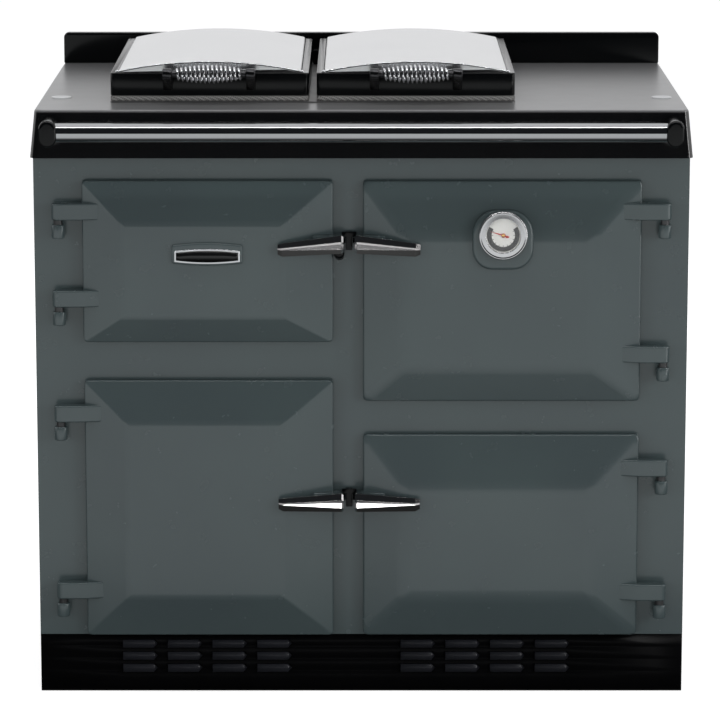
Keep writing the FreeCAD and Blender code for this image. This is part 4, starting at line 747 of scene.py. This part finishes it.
eased("keeper_castings", "latch_keepers", black_cast, "cabinet", "black_enamel_casting", 0.0010)
BUFFER_AT = (-0.0335, 0.684)
BUFFER_R, BUFFER_STEM_R = 0.0082, 0.0055
BUFFER_STEM, BUFFER_NECK, BUFFER_DOME = 0.011, 0.013, 0.0186
buffer_knob = bmesh.new()
dome = arc((0.0, BUFFER_DOME), BUFFER_R, 0.0, 90.0, 8)
turned(buffer_knob, [(0.0, 0.0), (BUFFER_STEM_R, 0.0), (BUFFER_STEM_R, BUFFER_STEM),
                     (BUFFER_R, BUFFER_NECK)] + dome,
       (BUFFER_AT[0], reach(0.0), BUFFER_AT[1]), (0, -1, 0), 32)
piece("buffer_knob", buffer_knob, black_cast, "cabinet", "black_enamel_casting")


# ---------------------------------------------------------------- badge
# A bare plate: a barrel-shaped boss cast on the door, a chromed frame pressed into it and a
# plain black field that stands a little proud of the frame.
BOSS_HIGHER = 0.0030                    # the boss shows more above the frame than below
# half length, half height in the middle and at the ends, and how far it stands out
BADGE_BOSS = (0.0530, 0.0175, 0.0140), 0.0050
BADGE_FRAME = (0.0490, 0.0115, 0.0085), 0.0064
BADGE_FIELD = (0.0464, 0.0089, 0.0059), 0.0066
BOSS_SUNK = 0.002
BOW_STEPS = 20
BADGE_LOW, BADGE_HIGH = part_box("badge_rim")
BADGE_X = (BADGE_LOW.x + BADGE_HIGH.x) / 2
BADGE_Z = (BADGE_LOW.z + BADGE_HIGH.z) / 2


def barrel(shape, half_long, half_mid, half_end, near, far, high=0.0):
    """Plate with straight ends and bowed long sides."""
    bow = []
    for k in range(BOW_STEPS + 1):
        share = 2 * k / BOW_STEPS - 1
        bow.append((half_long * share, half_end + (half_mid - half_end) * (1 - share ** 2)))
    outline = bow + [(-x, -z) for x, z in bow]
    prism(shape, [(BADGE_X + x, reach(near), BADGE_Z + high + z) for x, z in outline],
          (0, near - far, 0))


boss = bmesh.new()
barrel(boss, *BADGE_BOSS[0], FACE_HIGH - BOSS_SUNK, FACE_HIGH + BADGE_BOSS[1], BOSS_HIGHER)
piece("badge_boss", boss, slate_cast, "upper_left_door", "slate_enamel_casting",
      soften=0.0034, steps=5)
frame_bar = bmesh.new()
barrel(frame_bar, *BADGE_FRAME[0], FACE_HIGH, FACE_HIGH + BADGE_FRAME[1])
badge_chrome = bright("badge_chrome", shade(210, 211, 214), 0.10)
piece("badge_frame", frame_bar, badge_chrome, "upper_left_door", "bright_chrome", "badge_rim",
      soften=0.0009, steps=4)
field = bmesh.new()
barrel(field, *BADGE_FIELD[0], FACE_HIGH, FACE_HIGH + BADGE_FIELD[1])
badge_black = enamel("badge_field", shade(14, 14, 15), shade(10, 10, 11), 0.22, 0.00001)
piece("badge_field", field, badge_black, "upper_left_door", "badge_black", "badge_inlay")


# ---------------------------------------------------------------- thermometer
# Dial thermometer in a chromed bezel: white face with a dark scale band and ticks, a red
# pointer on a brass hub with a round counterweight, and a flat glass.
chrome = bright("polished_chrome", shade(218, 219, 222), 0.06)
dress(chrome, "thermometer_case", "oven_shelves", "lid_hinge_pins")
# radius and height over the pad
BEZEL_PROFILE = [(0.0341, 0.0088), (0.0341, 0.0), (0.0370, 0.0), (0.0370, 0.0060),
                 (0.0367, 0.0080), (0.0358, 0.0100), (0.0345, 0.0109), (0.0334, 0.0107),
                 (0.0327, 0.0100), (0.0321, 0.0100), (0.0266, 0.01058), (0.0262, 0.0106),
                 (0.0258, 0.0100), (0.0258, 0.0088), (0.0341, 0.0088)]
bezel = bmesh.new()
turned(bezel, BEZEL_PROFILE, (GAUGE_X, PAD_FACE, GAUGE_Z), (0, -1, 0), 96)
brushed_ring = bright("turned_bezel", shade(214, 214, 216), 0.16, (1.0, 1.0, 1.0), 0.08)
piece("thermometer_ring", bezel, brushed_ring, "upper_right_door", "bright_chrome",
      "thermometer_bezel")

BAND = (0.0172, 0.0243)
BAND_ENDS = 2.12                        # radians either side of the dial's foot
TICKS = (0.0150, 0.0172)                # radii
TICK_ENDS = 1.98
TICK_TURNS = 16.0
LINE_EDGE = 0.0003
TAIL_AT = (0.0055, -0.0018)
dial = Finish("dial_face", Roughness=0.35)
u, _, v = dial.axes(dial.placed(offset=(-GAUGE_X, 0.0, -GAUGE_Z)))
out = (u * u + v * v) ** 0.5
around = u.meet("ARCTAN2", u, v * -1.0).size()
in_band = (out.within(BAND[0], BAND[0] + LINE_EDGE)
           * (1.0 - out.within(BAND[1], BAND[1] + LINE_EDGE)))
in_band = in_band * (1.0 - around.within(BAND_ENDS, BAND_ENDS + 0.02))
ticks = (around * TICK_TURNS).meet("COSINE", around * TICK_TURNS).within(0.90, 0.96)
ticks = (ticks * out.within(TICKS[0], TICKS[0] + LINE_EDGE)
         * (1.0 - around.within(TICK_ENDS, TICK_ENDS + 0.02)))
scale_marks = ticks * (1.0 - out.within(TICKS[1], TICKS[1] + 0.0002))
ink = in_band.most(scale_marks)
paper = dial.mix(dial.noise(50.0), shade(240, 240, 236), shade(232, 232, 228))
dial.drive("Base Color", dial.mix(ink, paper, shade(20, 21, 22)))
dress(dial.material, "thermometer_dial")
dress(Finish("clear_glass", Base_Color=(1, 1, 1, 1), Roughness=0.0, Transmission_Weight=1.0,
             IOR=1.45).material, "thermometer_glass")
needle = Finish("pointer_red", Roughness=0.4)
needle.drive("Base Color", needle.mix(needle.noise(300.0), shade(206, 22, 14),
                                      shade(186, 16, 10)))
dress(needle.material, "thermometer_pointer")
HUB_PROFILE = [(0.0, 0.0078), (0.0012, 0.0077), (0.0024, 0.0072), (0.0026, 0.0066),
               (0.0026, 0.0058)]
hub = bmesh.new()
turned(hub, HUB_PROFILE, (GAUGE_X, PAD_FACE, GAUGE_Z), (0, -1, 0), 32)
piece("pointer_hub", hub, bright("brass", shade(196, 160, 92), 0.2), "pointer", "pointer_red")
TAIL_PROFILE = [(0.0, 0.0070), (0.0016, 0.0070), (0.0019, 0.0067), (0.0019, 0.0060),
                (0.0, 0.0060)]
tail = bmesh.new()
turned(tail, TAIL_PROFILE,
       (GAUGE_X + TAIL_AT[0], PAD_FACE, GAUGE_Z + TAIL_AT[1]), (0, -1, 0), 24)
piece("pointer_counterweight", tail, needle.material, "pointer", "pointer_red")


# ---------------------------------------------------------------- lids
# Each lid is a gloss black cast rim with a brushed stainless cover arched over it. Small
# bright studs hold the cover's front corners. A chromed wire coil runs between two cast
# brackets as a handle that keeps cool.
COVER_WALL = 0.0012
COVER_IN = 0.0035
COVER_ROUND = 0.0030
ARC_STEPS = 24
STUD_R = 0.0030
STUD_AT = (0.4, 0.6)                    # outward and forward, in stud radii
STUD_FOOT, STUD_UP = -0.001, 0.0010
COVER_SHOULDER = 0.003
dome_steel = bright("brushed_stainless", shade(212, 213, 214), 0.19, (1.0, 0.03, 1.0), 0.05,
                    0.000002)
handle_metal = bright("handle_brackets", shade(70, 70, 72), 0.22, scratch=0.10, depth=0.00002)
for lid in ("left_lid", "right_lid"):
    eased(lid + "_rim_casting", lid + "_rim", black_cast, lid, "black_enamel_casting", 0.0013)
    low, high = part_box(lid + "_dome")
    low.x, high.x = low.x + COVER_IN, high.x - COVER_IN
    shoulder = low.z + COVER_SHOULDER
    centre, half, crown = (low.x + high.x) / 2, (high.x - low.x) / 2, high.z - shoulder
    radius = (half * half + crown * crown) / (2 * crown)
    spread = math.degrees(math.asin(half / radius))
    bow = arc((centre, high.z - radius), radius, 90.0 + spread, 90.0 - spread, ARC_STEPS)
    cover = bmesh.new()
    prism(cover, [(x, low.y, z) for x, z in [(low.x, low.z)] + bow + [(high.x, low.z)]],
          (0, high.y - low.y, 0))
    cover.normal_update()
    under = [face for face in cover.faces if abs(face.normal.z) > NEARLY
             and face.calc_center_median().z < low.z + 1e-4]
    bmesh.ops.recalc_face_normals(cover, faces=cover.faces)
    bmesh.ops.delete(cover, geom=under, context="FACES_ONLY")
    piece(lid + "_cover", cover, dome_steel, lid, "brushed_stainless", lid + "_dome",
          soften=COVER_ROUND, steps=5, wall=COVER_WALL)
    studs = bmesh.new()
    for x in (low.x - STUD_R * STUD_AT[0], high.x + STUD_R * STUD_AT[0]):
        cap = arc((0.0, 0.0), STUD_R, 0.0, 90.0, 6)
        turned(studs, [(0.0, STUD_FOOT), (STUD_R, STUD_FOOT)] + cap,
               (x, low.y - STUD_R * STUD_AT[1], low.z + STUD_UP), (0, 0, 1), 24)
    piece(lid + "_studs", studs, chrome, lid, "bright_chrome")
    eased(lid + "_handle_brackets", lid + "_handle_mounts", handle_metal, lid,
          "black_enamel_casting", 0.0016)
    dress(chrome, lid + "_handle_coil")
eased("lid_hinges", "lid_hinge_blocks", black_cast, "cabinet", "black_enamel_casting", 0.0012)


# ---------------------------------------------------------------- ovens and door seals
# Cast ovens, sand-rough inside, with chromed wire shelves on cast runners. A braided rope
# round each opening meets the door.
oven_cast = enamel("oven_lining", shade(34, 35, 37), shade(26, 27, 29), 0.42, 0.0002)
dress(oven_cast, "main_oven", "lower_oven")
door_rope = braid("door_rope", shade(42, 42, 41), shade(126, 124, 120), 700.0, 0.0008)
eased("door_ropes", "door_seals", door_rope, "cabinet", "glass_rope", 0.0022)


# ---------------------------------------------------------------- burner side
# A cast combustion chamber over the pressure-jet burner, its flue outlet behind, and the
# control panel with the thermostat knob behind the upper left door. Mineral board lines the
# sides.
dress(sand_cast, "combustion_chamber")
flue_black = ironwork("flue_iron", shade(30, 30, 31), shade(40, 39, 39), 0.55, 0.0002, 0.2)
eased("flue_spigot", "flue_outlet", flue_black, "cabinet", "raw_iron", 0.0012)
burner_paint = enamel("burner_paint", shade(70, 74, 80), shade(60, 64, 70), 0.4, 0.0001)
eased("burner_unit", "burner", burner_paint, "cabinet", "burner_paint", 0.0025)
control_black = enamel("control_black", shade(30, 30, 31), shade(24, 24, 25), 0.4, 0.0001)
dress(control_black, "control_panel")
knob_black = enamel("knob_black", shade(18, 18, 18), shade(14, 14, 14), 0.3, 0.00005)
eased("thermostat_grip", "thermostat_knob", knob_black, "thermostat", "knob_black", 0.0008)
board = Finish("mineral_board", Roughness=0.95)
board.drive("Base Color", board.mix(board.noise(90.0, 4.0), shade(196, 186, 150),
                                    shade(160, 150, 118)))
board.bump(board.noise(400.0, 4.0), 0.0004)
dress(board.material, "insulation_boards")
